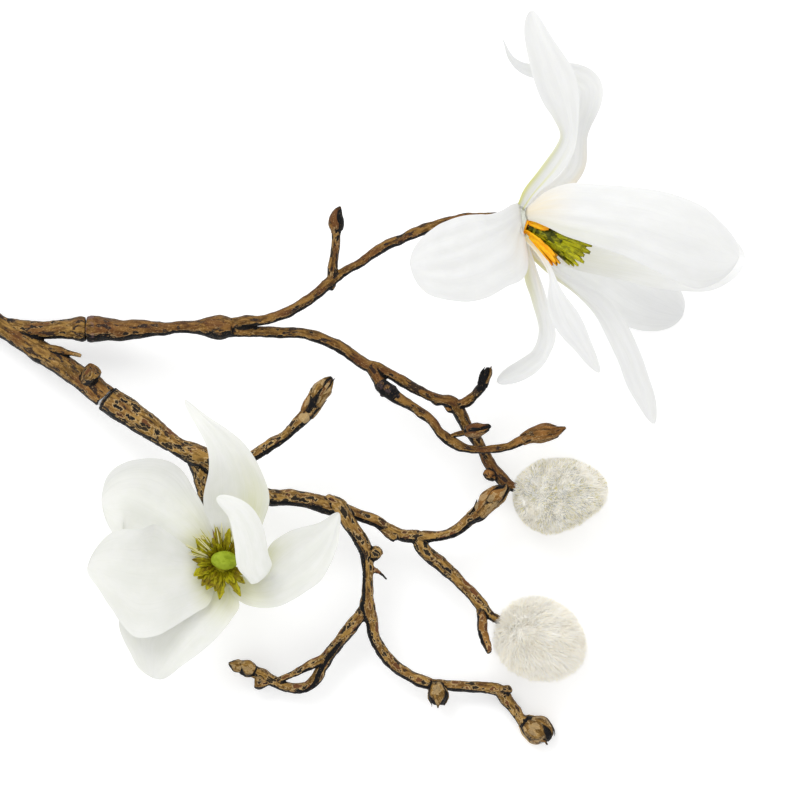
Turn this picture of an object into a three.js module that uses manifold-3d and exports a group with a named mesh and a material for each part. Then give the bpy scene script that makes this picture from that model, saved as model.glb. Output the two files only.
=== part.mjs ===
// A cut spray of saucer magnolia lying on a table: forked brown wood in three lengths that
// plug together, two white blooms, two fuzzy buds and many small brown buds.
// Millimetres, +Z up. The surface it lies on is z = 0 and the origin is under its middle.
import * as THREE from 'three';
import { mergeVertices } from 'three/addons/utils/BufferGeometryUtils.js';
import Module from 'manifold-3d';

const wasm = await Module();
wasm.setup();

// Driving dimensions
const GAP = 0.3; // clearance between neighbouring pieces
const LIMB_SIDES = 8; // sides of a stem or twig
const LIMB_STEP = 8; // longest stretch between two rings of a stem
const TEPAL_THICKNESS = 0.8;
const TEPAL_ROWS = 12; // fewest steps along a tepal
const TEPAL_COLUMNS = 6; // steps across a tepal
const TIP_CROWDING = 1.4; // rows stand closer towards the tip
const TIP_ROUNDNESS = 8; // power of the curve that rounds a tip
const TIP_END = 0.995; // the last row, just short of the very tip
const STRAP_THICKNESS = 0.8; // stamens and pistil straps
const PILE_HEIGHT = 1.6; // hair tufts on the fuzzy buds
const PILE_DETAIL = 3; // subdivisions of a fuzzy bud's skin

const WOOD = { color: 0x6f5333, roughness: 0.75, metalness: 0 };
const PEG = { color: 0xc9c7c2, roughness: 0.5, metalness: 0 };
const WHITE = { color: 0xf1f1ed, roughness: 0.6, metalness: 0 };
const BLOOM_BASE = { color: 0xcfd58a, roughness: 0.6, metalness: 0 };
const OLIVE = { color: 0x7c8210, roughness: 0.55, metalness: 0 };
const LIME = { color: 0x9bb82c, roughness: 0.5, metalness: 0 };
const ORANGE = { color: 0xf2a60c, roughness: 0.5, metalness: 0 };
const FUZZ = { color: 0xd2cdb6, roughness: 0.95, metalness: 0 };

// The two sleeve joints: where the wood parts, and the way the stem runs there.
const UPPER_JOINT = { place: [-69, 19, 15.5], axis: [1, 0, 0.08], gap: GAP };
const LOWER_JOINT = { place: [-62, -5.5, 20], axis: [0.78, -0.6, 0.17], gap: 1.6 };
const UPPER_PEG = { radius: 2.4, length: 10, collar: 2.4, collarWidth: 0 };
const LOWER_PEG = { radius: 2.6, length: 11, collar: 3.9, collarWidth: 1 };

// A stem, twig or bud is a list of stations [x, y, z, radius] along its middle.
const TRUNK = [
  [-167.5, 45, 3.9, 4.5],
  [-158, 44.5, 3.9, 4.5],
  [-148, 43, 4.3, 4.4],
  [-138, 40.3, 5.7, 4.3],
  [-120, 33, 8.5, 4.1],
  [-100.5, 20.5, 11.5, 3.8],
  [-87.5, 12, 13.5, 4.1],
  [-78.5, 6.5, 15.5, 4],
];
const TRUNK_FORK = [
  [-107.5, 23, 9.5, 2.2],
  [-95, 19.5, 12.5, 3.1],
  [-84, 18.5, 14, 3.2],
];
const SPLINTER = [
  [-87.5, 13, 15, 1.8],
  [-79, 12, 18, 1.3],
  [-73.5, 10, 19.5, 1.1],
  [-70.5, 9, 20, 0.7],
];
const TRUNK_KNOB = [
  [-70, -0.5, 19, 1.8],
  [-67.5, 2, 22, 2.5],
  [-65.5, 4, 24, 2.9],
  [-64.5, 5.5, 25, 1.6],
];
const UPPER_STEM = [
  [-56, 18.5, 17.5, 3.8],
  [-49.5, 19, 19, 3.4],
  [-42.5, 19, 21, 2.6],
  [-35, 19.5, 23.5, 2.2],
  [-28.5, 19.5, 26, 2.7],
  [-24, 19.5, 27.5, 3.8],
  [-20, 19.5, 29, 4.3],
  [-16, 19.5, 30, 3.2],
];
const UPPER_TWIG = [
  [-17.5, 20.5, 30, 2.2],
  [-11.5, 22, 31, 2],
  [-5.5, 22, 32.5, 1.9],
  [2, 24, 35, 1.8],
  [8.5, 27.5, 37, 1.9],
  [15, 32, 39, 2],
  [19.5, 36, 40, 2.1],
  [24.5, 39.5, 41.5, 1.6],
  [30.5, 43, 43, 1.6],
  [37, 47.5, 45, 1.8],
  [44.5, 51, 47, 1.7],
  [51.5, 54, 48.5, 2],
  [60.5, 57, 50, 1.7],
  [71, 59, 51, 1.6],
  [81.5, 58.5, 52, 1.6],
];
const SIDE_TWIG = [
  [19, 35, 39.5, 1.4],
  [20, 40.5, 42, 1.8],
  [21, 48, 44.5, 1.7],
  [21.5, 53.5, 46.5, 1.8],
  [21.5, 56, 47.5, 2.6],
  [21.5, 59, 48.5, 2.3],
  [22, 61, 49, 1.4],
  [23, 62.5, 49.5, 0.4],
];
const TWIG_HEEL = [
  [17.5, 35.5, 39, 1.4],
  [20, 34.5, 38.5, 1.8],
  [21.5, 33.5, 38, 0.9],
];
const MIDDLE_TWIG = [
  [-17.5, 18, 29, 2.2],
  [-11.5, 18, 29, 2],
  [-5.5, 18, 29, 2],
  [2, 17.5, 28.5, 1.9],
  [8.5, 17.5, 28, 2],
  [15.5, 15.5, 27.5, 2.1],
  [22.5, 12.5, 27, 2.2],
  [27, 9.5, 26.5, 2.2],
  [32, 6, 26, 2.2],
  [36.5, 4.5, 25, 2.2],
  [44.5, 0.5, 23, 1.9],
  [51.5, -3.5, 21.5, 1.8],
  [58.5, -6.5, 20, 1.9],
  [63, -7.5, 19, 2.2],
  [65.5, -10.5, 18, 2.5],
  [68, -15.5, 16, 2.2],
  [71.5, -20.5, 13.5, 2.2],
  [74.5, -25.5, 12.5, 2.1],
  [77, -30, 13.5, 2.2],
  [80, -34, 15, 2.3],
  [83.5, -37.5, 16, 2.1],
  [88, -39, 16, 1.4],
];
const MIDDLE_SPUR = [
  [64.5, -8.5, 19, 1.6],
  [68, -7.5, 20, 1.8],
  [71, -5, 21.5, 1.8],
  [73.5, -2, 23, 1.6],
  [74.5, 0.5, 24, 2.2],
  [75.5, 3, 25, 2.3],
  [76, 5, 26, 0.9],
];
const CROSSING_TWIG = [
  [34, 5, 26, 2.2],
  [36.5, 0.5, 26, 2.3],
  [38.5, -2, 26.5, 3.1],
  [41, -4, 27, 3.2],
  [43.5, -6, 27, 2],
  [48, -8.5, 26.5, 1.8],
  [51.5, -11, 26, 1.9],
  [55.5, -14, 25.5, 1.7],
  [59, -18.5, 25, 1.8],
  [62.5, -21.5, 24, 1.9],
  [66.5, -23.5, 23, 1.7],
  [72, -24.5, 22.5, 1.5],
  [77.5, -24.5, 23, 1.5],
  [83, -23.5, 24, 1.5],
  [87.5, -21.5, 25, 1.6],
  [91.5, -19.5, 25.5, 2.5],
  [96, -18.5, 26, 3.2],
  [100, -18, 26.5, 2.2],
  [104, -16.5, 27, 0.4],
];
const SMALL_BUD = [
  [61, -20, 24.5, 0.7],
  [65, -19, 25.5, 0.8],
  [67.5, -18.5, 26, 1.1],
  [69, -18, 26, 2],
  [71.5, -17.5, 26.5, 2.6],
  [74.5, -17, 27, 1.6],
  [77, -16, 27, 0.4],
];
const SCALE_NUBS = [
  [
    [56, -6.5, 20.5, 1.1],
    [57.5, -7.5, 20, 1.4],
    [59, -8, 19.5, 0.7],
  ],
  [
    [60.5, -8, 19, 1.1],
    [62.5, -10, 18.5, 1.6],
    [64, -11, 18, 0.7],
  ],
  [
    [78, -34, 15, 1.1],
    [75.5, -34.5, 16, 1.6],
    [75, -33, 17, 0.7],
  ],
];
const LOWER_STEM = [
  [-53, -11.5, 22.5, 4.9],
  [-46.5, -16, 24, 4.5],
  [-41, -20, 25, 3.6],
  [-35, -24, 26, 3.4],
  [-30, -26, 26.5, 4.1],
  [-25.5, -28, 26, 3.8],
  [-19, -33, 25, 3.1],
  [-11, -37.5, 24, 2.9],
  [-3.5, -41.5, 23, 3],
  [4.5, -42, 22.5, 3],
  [12, -43, 22, 3.1],
  [18.5, -45, 21, 3.2],
  [22.5, -47, 20, 2.3],
];
const BLOOM_STALK = [
  [-30, -26, 25.5, 3.2],
  [-28, -32, 24, 3.1],
  [-26.5, -41, 21, 2.3],
  [-24, -50.5, 19.5, 2.2],
  [-21.5, -58.5, 19, 2.2],
  [-19.8, -64, 21, 2.3],
  [-19.5, -65.5, 24, 2.4],
  [-19.5, -65.5, 26.4, 2.5],
];
const BEHIND_TWIG = [
  [-18.5, -32, 26, 2.2],
  [-13.5, -29.5, 27, 2.2],
  [-7.5, -26, 28, 2.2],
  [-2, -22.5, 29, 2.2],
  [3, -19.5, 30, 2],
  [7, -15.5, 31, 2.2],
  [10.5, -12, 32, 2.7],
  [12.5, -9, 33, 3.2],
  [15, -5, 34, 3.6],
  [16.5, -2.5, 35, 3.6],
  [18.5, 0, 35.5, 2.2],
  [20, 1.5, 36, 0.4],
];
const SIDE_BRANCH = [
  [19, -45, 20, 2.5],
  [24.5, -46.5, 19, 2.5],
  [30, -48.5, 18, 2.2],
  [35.5, -50.5, 17, 2.2],
  [40.5, -53.5, 16.5, 2.3],
  [45, -55.5, 16, 2.2],
  [50.5, -56, 16, 2.5],
  [56, -56, 16, 2],
  [61.5, -55, 16.5, 2],
  [66, -53, 17, 2.1],
  [69, -50, 18, 2.2],
  [72.5, -47.5, 19.5, 2.5],
  [74.5, -45.5, 20.5, 3.2],
  [77, -42.5, 22, 4],
  [80, -40, 23.5, 3.4],
  [82, -38.5, 24.5, 1.6],
  [82.5, -37, 25, 0.4],
];
const STUB = [
  [36.5, -51, 17, 1.6],
  [40, -54.5, 17, 1.8],
  [43, -56.5, 17.5, 1.6],
];
const BUD_BRANCH = [
  [50.5, -55, 16, 2.3],
  [52, -59.5, 15.5, 2.7],
  [54.5, -62.5, 15.5, 2.6],
  [58.5, -65.5, 15.5, 2.7],
  [64, -70.5, 15.5, 2.3],
  [69.5, -76, 15.5, 2.2],
  [73.5, -80.5, 16, 2.3],
  [76.5, -84, 16.5, 2],
  [81, -87, 17, 1.4],
];
const HUSK = [
  [73.5, -82, 16, 1.6],
  [74, -86, 18.5, 1.9],
  [74, -90.5, 22, 1.9],
  [75.5, -94.5, 25, 1.6],
  [76.5, -97.5, 27, 0.9],
];
const FRONT_BRANCH = [
  [17.5, -42.5, 21, 2.3],
  [22.5, -45, 22.5, 2.9],
  [25.5, -50, 22.5, 2.7],
  [29, -55.5, 21.5, 2.7],
  [32, -61, 20, 2.6],
  [32.5, -66.5, 19, 2.2],
  [32.5, -72.5, 18, 2.2],
  [32.5, -78, 17.5, 2.4],
  [32.5, -81.5, 17, 2.9],
  [34, -86.5, 16, 2.3],
  [35, -92, 14.5, 2.2],
  [37.5, -97, 13, 2.2],
  [41, -101.5, 11.5, 2.2],
  [45.5, -105, 10.5, 2.1],
  [51, -108, 9.5, 2.2],
  [56, -109.5, 8.5, 2.2],
  [62.5, -110, 7.5, 2],
  [69.5, -110.5, 6.5, 2],
  [77, -111, 6, 2.2],
  [80.5, -112, 5.5, 2.3],
  [83, -115.5, 5.3, 2.3],
  [86, -119, 5.3, 2.1],
  [88, -122, 5.4, 1.9],
  [90, -123.5, 5.3, 3.6],
  [92, -125, 5.2, 5.2],
  [94.5, -126.5, 5.2, 5.9],
  [97, -128.5, 5.5, 4.3],
  [98, -130, 6, 1.4],
];
const FRONT_BUMP = [
  [33.5, -61, 20, 1.8],
  [35.5, -62, 20, 2.9],
  [37, -63.5, 20, 2.2],
];
const TWIGLET = [
  [34, -67.5, 19, 0.9],
  [37, -69, 19.5, 0.7],
  [39.5, -71.5, 20, 0.4],
];
const LEFT_BRANCH = [
  [33, -80, 17, 2.2],
  [30, -84.5, 16, 2.3],
  [26, -89.5, 14.5, 2.4],
  [22, -94.5, 13, 2.3],
  [18.5, -99, 12, 2.5],
  [16, -103.5, 11, 2.2],
  [14, -107.5, 10, 2.2],
  [10.5, -110.5, 9, 2],
  [6, -111, 8, 1.9],
  [1.5, -110, 7.5, 2],
  [-2.5, -108, 7.5, 2.3],
  [-6, -106, 7.5, 2.9],
  [-9.5, -104.5, 7.5, 3.4],
  [-12.5, -103.5, 7.5, 3.4],
  [-15, -103, 7.5, 2.5],
  [-17.5, -102, 7.5, 0.4],
];
const STRAND = [
  [18, -99, 12, 1.6],
  [14.5, -101, 13, 1.7],
  [11, -103, 13, 1.4],
  [7, -105, 11.5, 1.3],
  [3, -107, 9.5, 1.3],
  [-0.5, -108.5, 8, 1.3],
];
const LEFT_KNOB = [
  [-3.5, -108, 7.5, 1.8],
  [-6.5, -109, 7.5, 2.7],
  [-8.5, -109, 7.5, 2],
];
const ELBOW_BUMP = [
  [80.5, -111.5, 6.5, 1.4],
  [83.5, -111.5, 7.5, 1.8],
  [85, -111.5, 8, 0.9],
];
const PENDANT_BUD = [
  [57.5, -109, 9, 1.8],
  [57.5, -111, 9.5, 3.4],
  [58, -114, 10, 4.1],
  [58, -117.3, 10.5, 2.6],
];

// A bloom's base is a turned knob: its place, its axis and its profile [radius, height].
const LOWER_BASE = {
  place: [-19.5, -65.5, 26.8],
  axis: [0, 0, 1],
  profile: [[0, 0], [2.6, 0], [4.2, 2], [4.2, 5], [3.4, 5.5], [0, 5.5]],
};
const UPPER_BASE = {
  place: [82.3, 58.2, 52],
  axis: [0.94, -0.28, 0.12],
  profile: [[0, 0], [2, 0], [3.8, 2.4], [3.8, 6.6], [3, 7.2], [0, 7.2]],
};

// A tepal: the points of its spine from claw to tip, its half widths to the left and the
// right of the spine at equal steps, the way its inner face looks from claw to tip, and how
// far its edges rise towards that side (cup, rounded; crease, folded), as parts of a half width.
const LOWER_TEPALS = [
  {
    spine: [[-23.5, -62.5, 30], [-34, -54, 33], [-45, -46, 35], [-54, -40, 38], [-59.3, -36.3, 40]],
    left: [2.2, 9.5, 16.8, 18.7, 17, 13],
    right: [2.2, 10, 17.4, 20.4, 19, 14.8],
    face: [[0, 0, 1]],
    cup: 0.18,
    crease: 0,
  },
  {
    spine: [[-24.2, -66.5, 32], [-34.5, -69, 36.5], [-45.5, -69, 43], [-56, -68.5, 48], [-67, -66, 50]],
    left: [2.4, 17, 20.5, 19.5, 14.8, 8.8],
    right: [2.4, 9, 15.5, 19, 19, 15.5],
    face: [[0, 0, 1]],
    cup: 0.15,
    crease: 0,
  },
  {
    spine: [[-20.1, -70.7, 30], [-27, -80.5, 33], [-36, -88.5, 35], [-42.5, -96.5, 36], [-45, -106, 35]],
    left: [2.2, 12, 13.7, 13.7, 12.2, 9],
    right: [2.2, 11, 16.5, 18, 15.8, 10],
    face: [[0, 0, 1]],
    cup: 0.15,
    crease: 0,
  },
  {
    spine: [
      [-18, -60.9, 31.5], [-15.5, -48, 36.5], [-14.5, -37, 47],
      [-17, -26.5, 56], [-23.5, -16, 59], [-33, -6.5, 57],
    ],
    left: [2.2, 10, 11.5, 7.5, 5, 2],
    right: [2.2, 11, 12, 9.5, 4.8, 2],
    face: [[0, -0.4, 1]],
    cup: 0.3,
    crease: 0,
  },
  {
    spine: [
      [-14.2, -66, 32], [-8.8, -71, 37.2], [-7, -67, 48.5],
      [-8.5, -56.5, 59], [-12.5, -47.5, 66.5], [-20, -42, 71],
    ],
    left: [2, 4.8, 6, 6, 5, 3],
    right: [2, 4.8, 6, 6, 5, 3],
    face: [[-0.4, 0.3, 0.85], [-0.4, 0.9, 0], [-0.3, 0.8, -0.6], [0, 0.4, -0.9]],
    cup: 0.35,
    crease: 0,
  },
  {
    spine: [
      [-15.6, -68.7, 30], [-7, -73.5, 31.5], [2, -69, 36.5],
      [10, -63, 41], [17, -56.5, 42.5], [21.3, -50, 41],
    ],
    left: [2.2, 3.6, 9.3, 10.5, 8, 4.2],
    right: [2.2, 7, 10.5, 10, 7.8, 5],
    face: [[0, 0, 1]],
    cup: 0.3,
    crease: 0,
  },
];
const UPPER_TEPALS = [
  {
    spine: [
      [87.8, 57.2, 57.1], [86.3, 57, 59.5], [80, 51, 61],
      [71, 46, 61.7], [60.5, 42.5, 59], [48, 41.5, 53],
    ],
    left: [4, 14, 15.8, 15.5, 13.5, 11.5],
    right: [4, 10.5, 14.5, 15, 13.5, 11],
    face: [[1, 0.2, 0.5], [0, 0, 1], [0, 0, 1], [0, 0, 1]],
    cup: -0.06,
    crease: 0,
  },
  {
    spine: [
      [88, 61.4, 53.6], [92.5, 67.5, 56], [100.5, 77.5, 59.5], [105.5, 87, 62],
      [102.5, 100.5, 63.5], [97, 114.5, 63], [91.5, 132, 59],
    ],
    left: [2, 3.6, 3.5, 6.5, 8, 4],
    right: [2, 4, 3.5, 6, 6.5, 3],
    face: [[0, 0, 1]],
    cup: 0.3,
    crease: 0.2,
  },
  {
    spine: [
      [86.2, 61.7, 49.1], [98.5, 68, 47], [107.5, 77, 45.5], [109, 89, 44], [112.2, 101, 41],
      [110.5, 107.5, 39], [101, 111, 37], [90.5, 112, 35], [84.5, 116, 33], [81.2, 123.3, 31],
    ],
    left: [2, 3, 4, 4, 3, 0.7],
    right: [2, 3.5, 2.8, 5.2, 3.2, 0.7],
    face: [[0, 0, 1]],
    cup: 0.2,
    crease: 0,
  },
  {
    spine: [
      [89.1, 59.8, 56.8], [96, 60.2, 62.4], [108.5, 59.5, 71],
      [124.5, 56.5, 78], [142, 51.5, 82], [163.5, 42, 80],
    ],
    left: [2.2, 10.5, 12.4, 13.4, 13.6, 11.8],
    right: [2.2, 8.5, 12, 14.5, 14.5, 13],
    face: [[-0.3, 0, 1]],
    cup: -0.25,
    crease: 0,
  },
  {
    spine: [
      [88.7, 58.3, 47.7], [96.5, 53.8, 44], [109, 49.5, 39],
      [125, 46.5, 36], [143, 44, 37], [168, 44.5, 42],
    ],
    left: [2, 6, 9.5, 11, 11.2, 9],
    right: [2, 6, 9.8, 11.5, 12.4, 10],
    face: [[0, 0, 1]],
    cup: 0.3,
    crease: 0,
  },
  {
    spine: [
      [85.2, 54.1, 48.1], [93.5, 49.4, 41.5], [106, 45, 31],
      [120, 38, 17], [134, 30, 4.2], [147, 24.5, 0.4],
    ],
    left: [2, 4.5, 7, 11, 13.5, 13],
    right: [2, 4.5, 7, 11, 13.5, 13],
    face: [[0, 0, 1]],
    cup: 0.1,
    crease: 0,
  },
  {
    spine: [
      [87.3, 52.7, 48.5], [95, 46.2, 42], [106.5, 38, 35.2], [116.5, 28, 29.5],
      [123.8, 15.5, 24], [130.3, 0.5, 17], [136.3, -14.5, 9],
    ],
    left: [2, 3, 3.5, 4, 3.8, 2],
    right: [2, 3, 3.5, 4, 3.8, 2],
    face: [[0, 0, 1]],
    cup: 0.3,
    crease: 0.2,
  },
  {
    spine: [
      [85.9, 51.7, 54.4], [91.1, 48, 53.6], [96.8, 41.5, 56], [99.5, 33, 57],
      [103.5, 23, 55], [109.5, 13.5, 51], [115.5, 3.5, 46],
    ],
    left: [1.5, 1.6, 3.5, 5.5, 3.5, 1],
    right: [1.5, 1.6, 3.5, 5.5, 3.5, 1],
    face: [[0, 0, 1]],
    cup: 0.3,
    crease: 0.2,
  },
  {
    spine: [
      [84.4, 52.2, 51.2], [89.2, 43, 49], [94.2, 30.5, 46], [96.5, 19, 42],
      [95, 10.5, 37], [89, 4.2, 32], [79.5, 0.5, 26],
    ],
    left: [1.5, 3, 3.2, 3.8, 3.3, 2.5],
    right: [1.5, 3, 3.2, 3.8, 3.3, 2.5],
    face: [[0, 0, 1]],
    cup: 0.4,
    crease: 0.2,
  },
];

// The blooms' middles stand on their bases, leaning a little off the base's axis.
const LOWER_MIDDLE = { place: [-19.5, -65.2, 33.1], axis: [0, 0.12, 1] };
const UPPER_MIDDLE = { place: [89.9, 55.9, 53.1], axis: [0.905, -0.4, 0.12] };

// A crown of straps round a collar. Lengths and spreads vary evenly round the crown, and a
// tepal that leans in leaves no room for straps between two turns.
const LOWER_STAMENS = {
  rise: 0, collar: 3.9, collarHeight: 1.4, root: 3.2, count: 18, length: [10, 13.5],
  spread: [44, 54], width: 4.2, teeth: 3, bare: [30, 115],
};
const UPPER_STAMENS = {
  rise: 0, collar: 3.4, collarHeight: 1.2, root: 2.7, count: 13, length: [12, 15],
  spread: [15, 24], width: 2, teeth: 1, bare: [-30, 30],
};
const UPPER_PISTIL = {
  rise: 10, collar: 3, collarHeight: 1, root: 1.9, count: 12, length: [12, 15.5],
  spread: [4, 14], width: 1.9, teeth: 1, bare: [-1, -1],
};
const UPPER_CORE = [[0, 1.5], [1.9, 1.5], [1.9, 5], [3, 10], [0, 10]];
const LOWER_PISTIL = [[0, 1.8], [2, 1.8], [2.4, 3], [4, 4.4], [3.9, 5.8], [2.9, 7.1], [1.4, 7.8], [0, 8]];

// A fuzzy bud: its middle, the way its tip points, half length, half width and taper.
const FUZZY_BUDS = [
  { place: [102.5, -41, 15.5], axis: [1, 0.1, 0], long: 17.8, wide: 14.1, taper: 0.16, stem: MIDDLE_TWIG },
  { place: [95, -93.3, 16.5], axis: [0.85, -0.45, 0], long: 16.8, wide: 15.2, taper: 0.06, stem: BUD_BRANCH },
];

const vector = ([x, y, z]) => new THREE.Vector3(x, y, z);

// A closed mesh from corner points and triangles.
function meshOf(points, triangles) {
  const geometry = new THREE.BufferGeometry();
  const coordinates = points.flatMap((point) => [point.x, point.y, point.z]);
  geometry.setAttribute('position', new THREE.Float32BufferAttribute(coordinates, 3));
  geometry.setIndex(triangles.flat());
  return geometry;
}

function solidOf(geometry) {
  const bare = geometry.clone();
  bare.deleteAttribute('normal');
  bare.deleteAttribute('uv');
  const welded = mergeVertices(bare, 1e-4);
  return new wasm.Manifold(new wasm.Mesh({
    numProp: 3,
    vertProperties: new Float32Array(welded.attributes.position.array),
    triVerts: new Uint32Array(welded.index.array),
  }));
}

function geometryOf(solid) {
  const mesh = solid.getMesh();
  const geometry = new THREE.BufferGeometry();
  geometry.setAttribute('position', new THREE.BufferAttribute(mesh.vertProperties, 3));
  geometry.setIndex(new THREE.BufferAttribute(mesh.triVerts, 1));
  return geometry;
}

function fuse(geometries) {
  return geometryOf(geometries.map(solidOf).reduce((whole, piece) => whole.add(piece)));
}

function cut(geometry, tool) {
  return geometryOf(solidOf(geometry).subtract(solidOf(tool)));
}

// What lies on the surface is worn flat there.
function rested(geometry) {
  const below = new THREE.BoxGeometry(500, 500, 20);
  below.translate(0, 0, -10);
  return cut(geometry, below);
}

// A stem, twig or bud: rings round a curve through its stations, closed at both ends.
function limb(stations, sides = LIMB_SIDES) {
  const curve = new THREE.CatmullRomCurve3(stations.map(vector), false, 'catmullrom');
  const spans = stations.length - 1;
  const places = [];
  stations.forEach((station, i) => {
    const next = stations[Math.min(i + 1, spans)];
    const pieces = Math.max(1, Math.ceil(vector(station).distanceTo(vector(next)) / LIMB_STEP));
    for (let k = 0; k < (i < spans ? pieces : 1); k++) {
      const radius = THREE.MathUtils.lerp(station[3], next[3], k / pieces);
      places.push({ t: (i + k / pieces) / spans, radius });
    }
  });
  const points = [curve.getPoint(0), curve.getPoint(1)];
  for (const { t, radius } of places) {
    const middle = curve.getPoint(t);
    const forward = curve.getTangent(t);
    const upright = Math.abs(forward.z) > 0.95 ? new THREE.Vector3(1, 0, 0) : new THREE.Vector3(0, 0, 1);
    const side = forward.clone().cross(upright).normalize();
    const up = side.clone().cross(forward);
    for (let k = 0; k < sides; k++) {
      const angle = (2 * Math.PI * (k + 0.5)) / sides;
      const corner = middle.clone().addScaledVector(side, radius * Math.cos(angle));
      points.push(corner.addScaledVector(up, radius * Math.sin(angle)));
    }
  }
  const triangles = [];
  const last = 2 + (places.length - 1) * sides;
  for (let k = 0; k < sides; k++) {
    const next = (k + 1) % sides;
    triangles.push([0, 2 + k, 2 + next]);
    triangles.push([1, last + next, last + k]);
    for (let ring = 2; ring < last; ring += sides) {
      triangles.push([ring + k, ring + sides + k, ring + sides + next]);
      triangles.push([ring + k, ring + sides + next, ring + next]);
    }
  }
  return meshOf(points, triangles);
}

// Stations at a sleeve joint, on the side before it (-1) or after it (1).
function jointStations({ place, axis, gap }, side, reaches) {
  const along = vector(axis).normalize();
  const stations = reaches.map(([reach, radius]) => {
    const point = vector(place).addScaledVector(along, side * (gap / 2 + reach));
    return [point.x, point.y, point.z, radius];
  });
  return side < 0 ? stations.reverse() : stations;
}

// Turns a geometry made round +Y to stand on a place along an axis.
function stand(geometry, place, axis) {
  const turn = new THREE.Quaternion().setFromUnitVectors(new THREE.Vector3(0, 1, 0), vector(axis).normalize());
  geometry.applyQuaternion(turn);
  return geometry.translate(...place);
}

// A body turned round +Y from its outline [radius, height].
function turned(profile, sides = 16) {
  const outline = profile.map(([radius, height]) => new THREE.Vector2(radius, height));
  return new THREE.LatheGeometry(outline, sides);
}

function peg(joint, { radius, length, collar, collarWidth }, spare = 0) {
  const half = length / 2 + spare;
  const r = radius + spare;
  const profile = collarWidth > 0
    ? [[0, -half], [r, -half], [r, -collarWidth / 2], [collar, -collarWidth / 2],
      [collar, collarWidth / 2], [r, collarWidth / 2], [r, half], [0, half]]
    : [[0, -half], [r, -half], [r, half], [0, half]];
  return stand(turned(profile), joint.place, joint.axis);
}

// The hole in the wood that a peg goes into.
const socket = (joint, size) => peg(joint, { ...size, collarWidth: 0 }, GAP);

// Value at a place between 0 and 1 on a smooth curve through evenly spaced values.
function profileAt(values, u) {
  const curve = new THREE.SplineCurve(values.map((value, i) => new THREE.Vector2(i, value)));
  return curve.getPoint(u).y;
}

function facingAt(face, u) {
  const place = u * (face.length - 1);
  const i = Math.min(Math.floor(place), Math.max(face.length - 2, 0));
  const next = face[Math.min(i + 1, face.length - 1)];
  return vector(face[i]).lerp(vector(next), place - i);
}

// A tepal: a curved blade of even thickness, both faces split into triangles alike.
function tepal({ spine, left, right, face, cup, crease }) {
  const curve = new THREE.CatmullRomCurve3(spine.map(vector), false, 'catmullrom');
  const rows = Math.max(TEPAL_ROWS, 2 * spine.length);
  const middle = [];
  for (let row = 0; row <= rows; row++) {
    const u = TIP_END * (1 - (1 - row / rows) ** TIP_CROWDING);
    const along = curve.getTangentAt(u);
    const inner = facingAt(face, u);
    inner.addScaledVector(along, -inner.dot(along)).normalize();
    const side = along.clone().cross(inner);
    const rounding = Math.sqrt(1 - u ** TIP_ROUNDNESS);
    for (let column = 0; column <= TEPAL_COLUMNS; column++) {
      const across = (2 * column) / TEPAL_COLUMNS - 1;
      const half = rounding * profileAt(across < 0 ? left : right, u);
      const rise = half * (cup * across ** 2 + crease * Math.abs(across));
      const point = curve.getPointAt(u).addScaledVector(side, half * across);
      middle.push(point.addScaledVector(inner, rise));
    }
  }
  const width = TEPAL_COLUMNS + 1;
  const at = (row, column) => middle[row * width + column];
  const clamp = THREE.MathUtils.clamp;
  const inside = [];
  const outside = [];
  for (let row = 0; row <= rows; row++) {
    for (let column = 0; column < width; column++) {
      const across = at(row, clamp(column + 1, 0, TEPAL_COLUMNS)).clone()
        .sub(at(row, clamp(column - 1, 0, TEPAL_COLUMNS)));
      const along = at(clamp(row + 1, 0, rows), column).clone()
        .sub(at(clamp(row - 1, 0, rows), column));
      const normal = across.cross(along).normalize();
      inside.push(at(row, column).clone().addScaledVector(normal, TEPAL_THICKNESS / 2));
      outside.push(at(row, column).clone().addScaledVector(normal, -TEPAL_THICKNESS / 2));
    }
  }
  const count = inside.length;
  const triangles = [];
  for (let row = 0; row < rows; row++) {
    for (let column = 0; column < TEPAL_COLUMNS; column++) {
      const a = row * width + column;
      const [b, c, d] = [a + 1, a + width, a + width + 1];
      triangles.push([a, b, d], [a, d, c]);
      triangles.push([count + a, count + d, count + b], [count + a, count + c, count + d]);
    }
  }
  const rim = [];
  for (let column = 0; column < TEPAL_COLUMNS; column++) rim.push(column);
  for (let row = 0; row < rows; row++) rim.push(row * width + TEPAL_COLUMNS);
  for (let column = TEPAL_COLUMNS; column > 0; column--) rim.push(rows * width + column);
  for (let row = rows; row > 0; row--) rim.push(row * width);
  rim.forEach((a, i) => {
    const b = rim[(i + 1) % rim.length];
    triangles.push([a, count + a, count + b], [a, count + b, b]);
  });
  return meshOf([...inside, ...outside], triangles);
}

// A flat strap with toothed edges, lying along +Y from the origin, its face towards +Z.
function strap(length, width, teeth) {
  const half = width / 2;
  const outline = [[half * 0.35, 0]];
  for (let tooth = 0; tooth < teeth; tooth++) {
    const from = 0.3 + (0.6 * tooth) / teeth;
    const swell = 1 - (0.45 * tooth) / teeth;
    outline.push([half * swell * 0.72, length * from]);
    outline.push([half * swell, length * (from + 0.45 / teeth)]);
  }
  outline.push([half * 0.25, length]);
  const mirrored = outline.map(([x, y]) => [-x, y]).reverse();
  const shape = new THREE.Shape([...outline, ...mirrored].map(([x, y]) => new THREE.Vector2(x, y)));
  const geometry = new THREE.ExtrudeGeometry(shape, { depth: STRAP_THICKNESS, bevelEnabled: false });
  return geometry.translate(0, 0, -STRAP_THICKNESS / 2);
}

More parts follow.
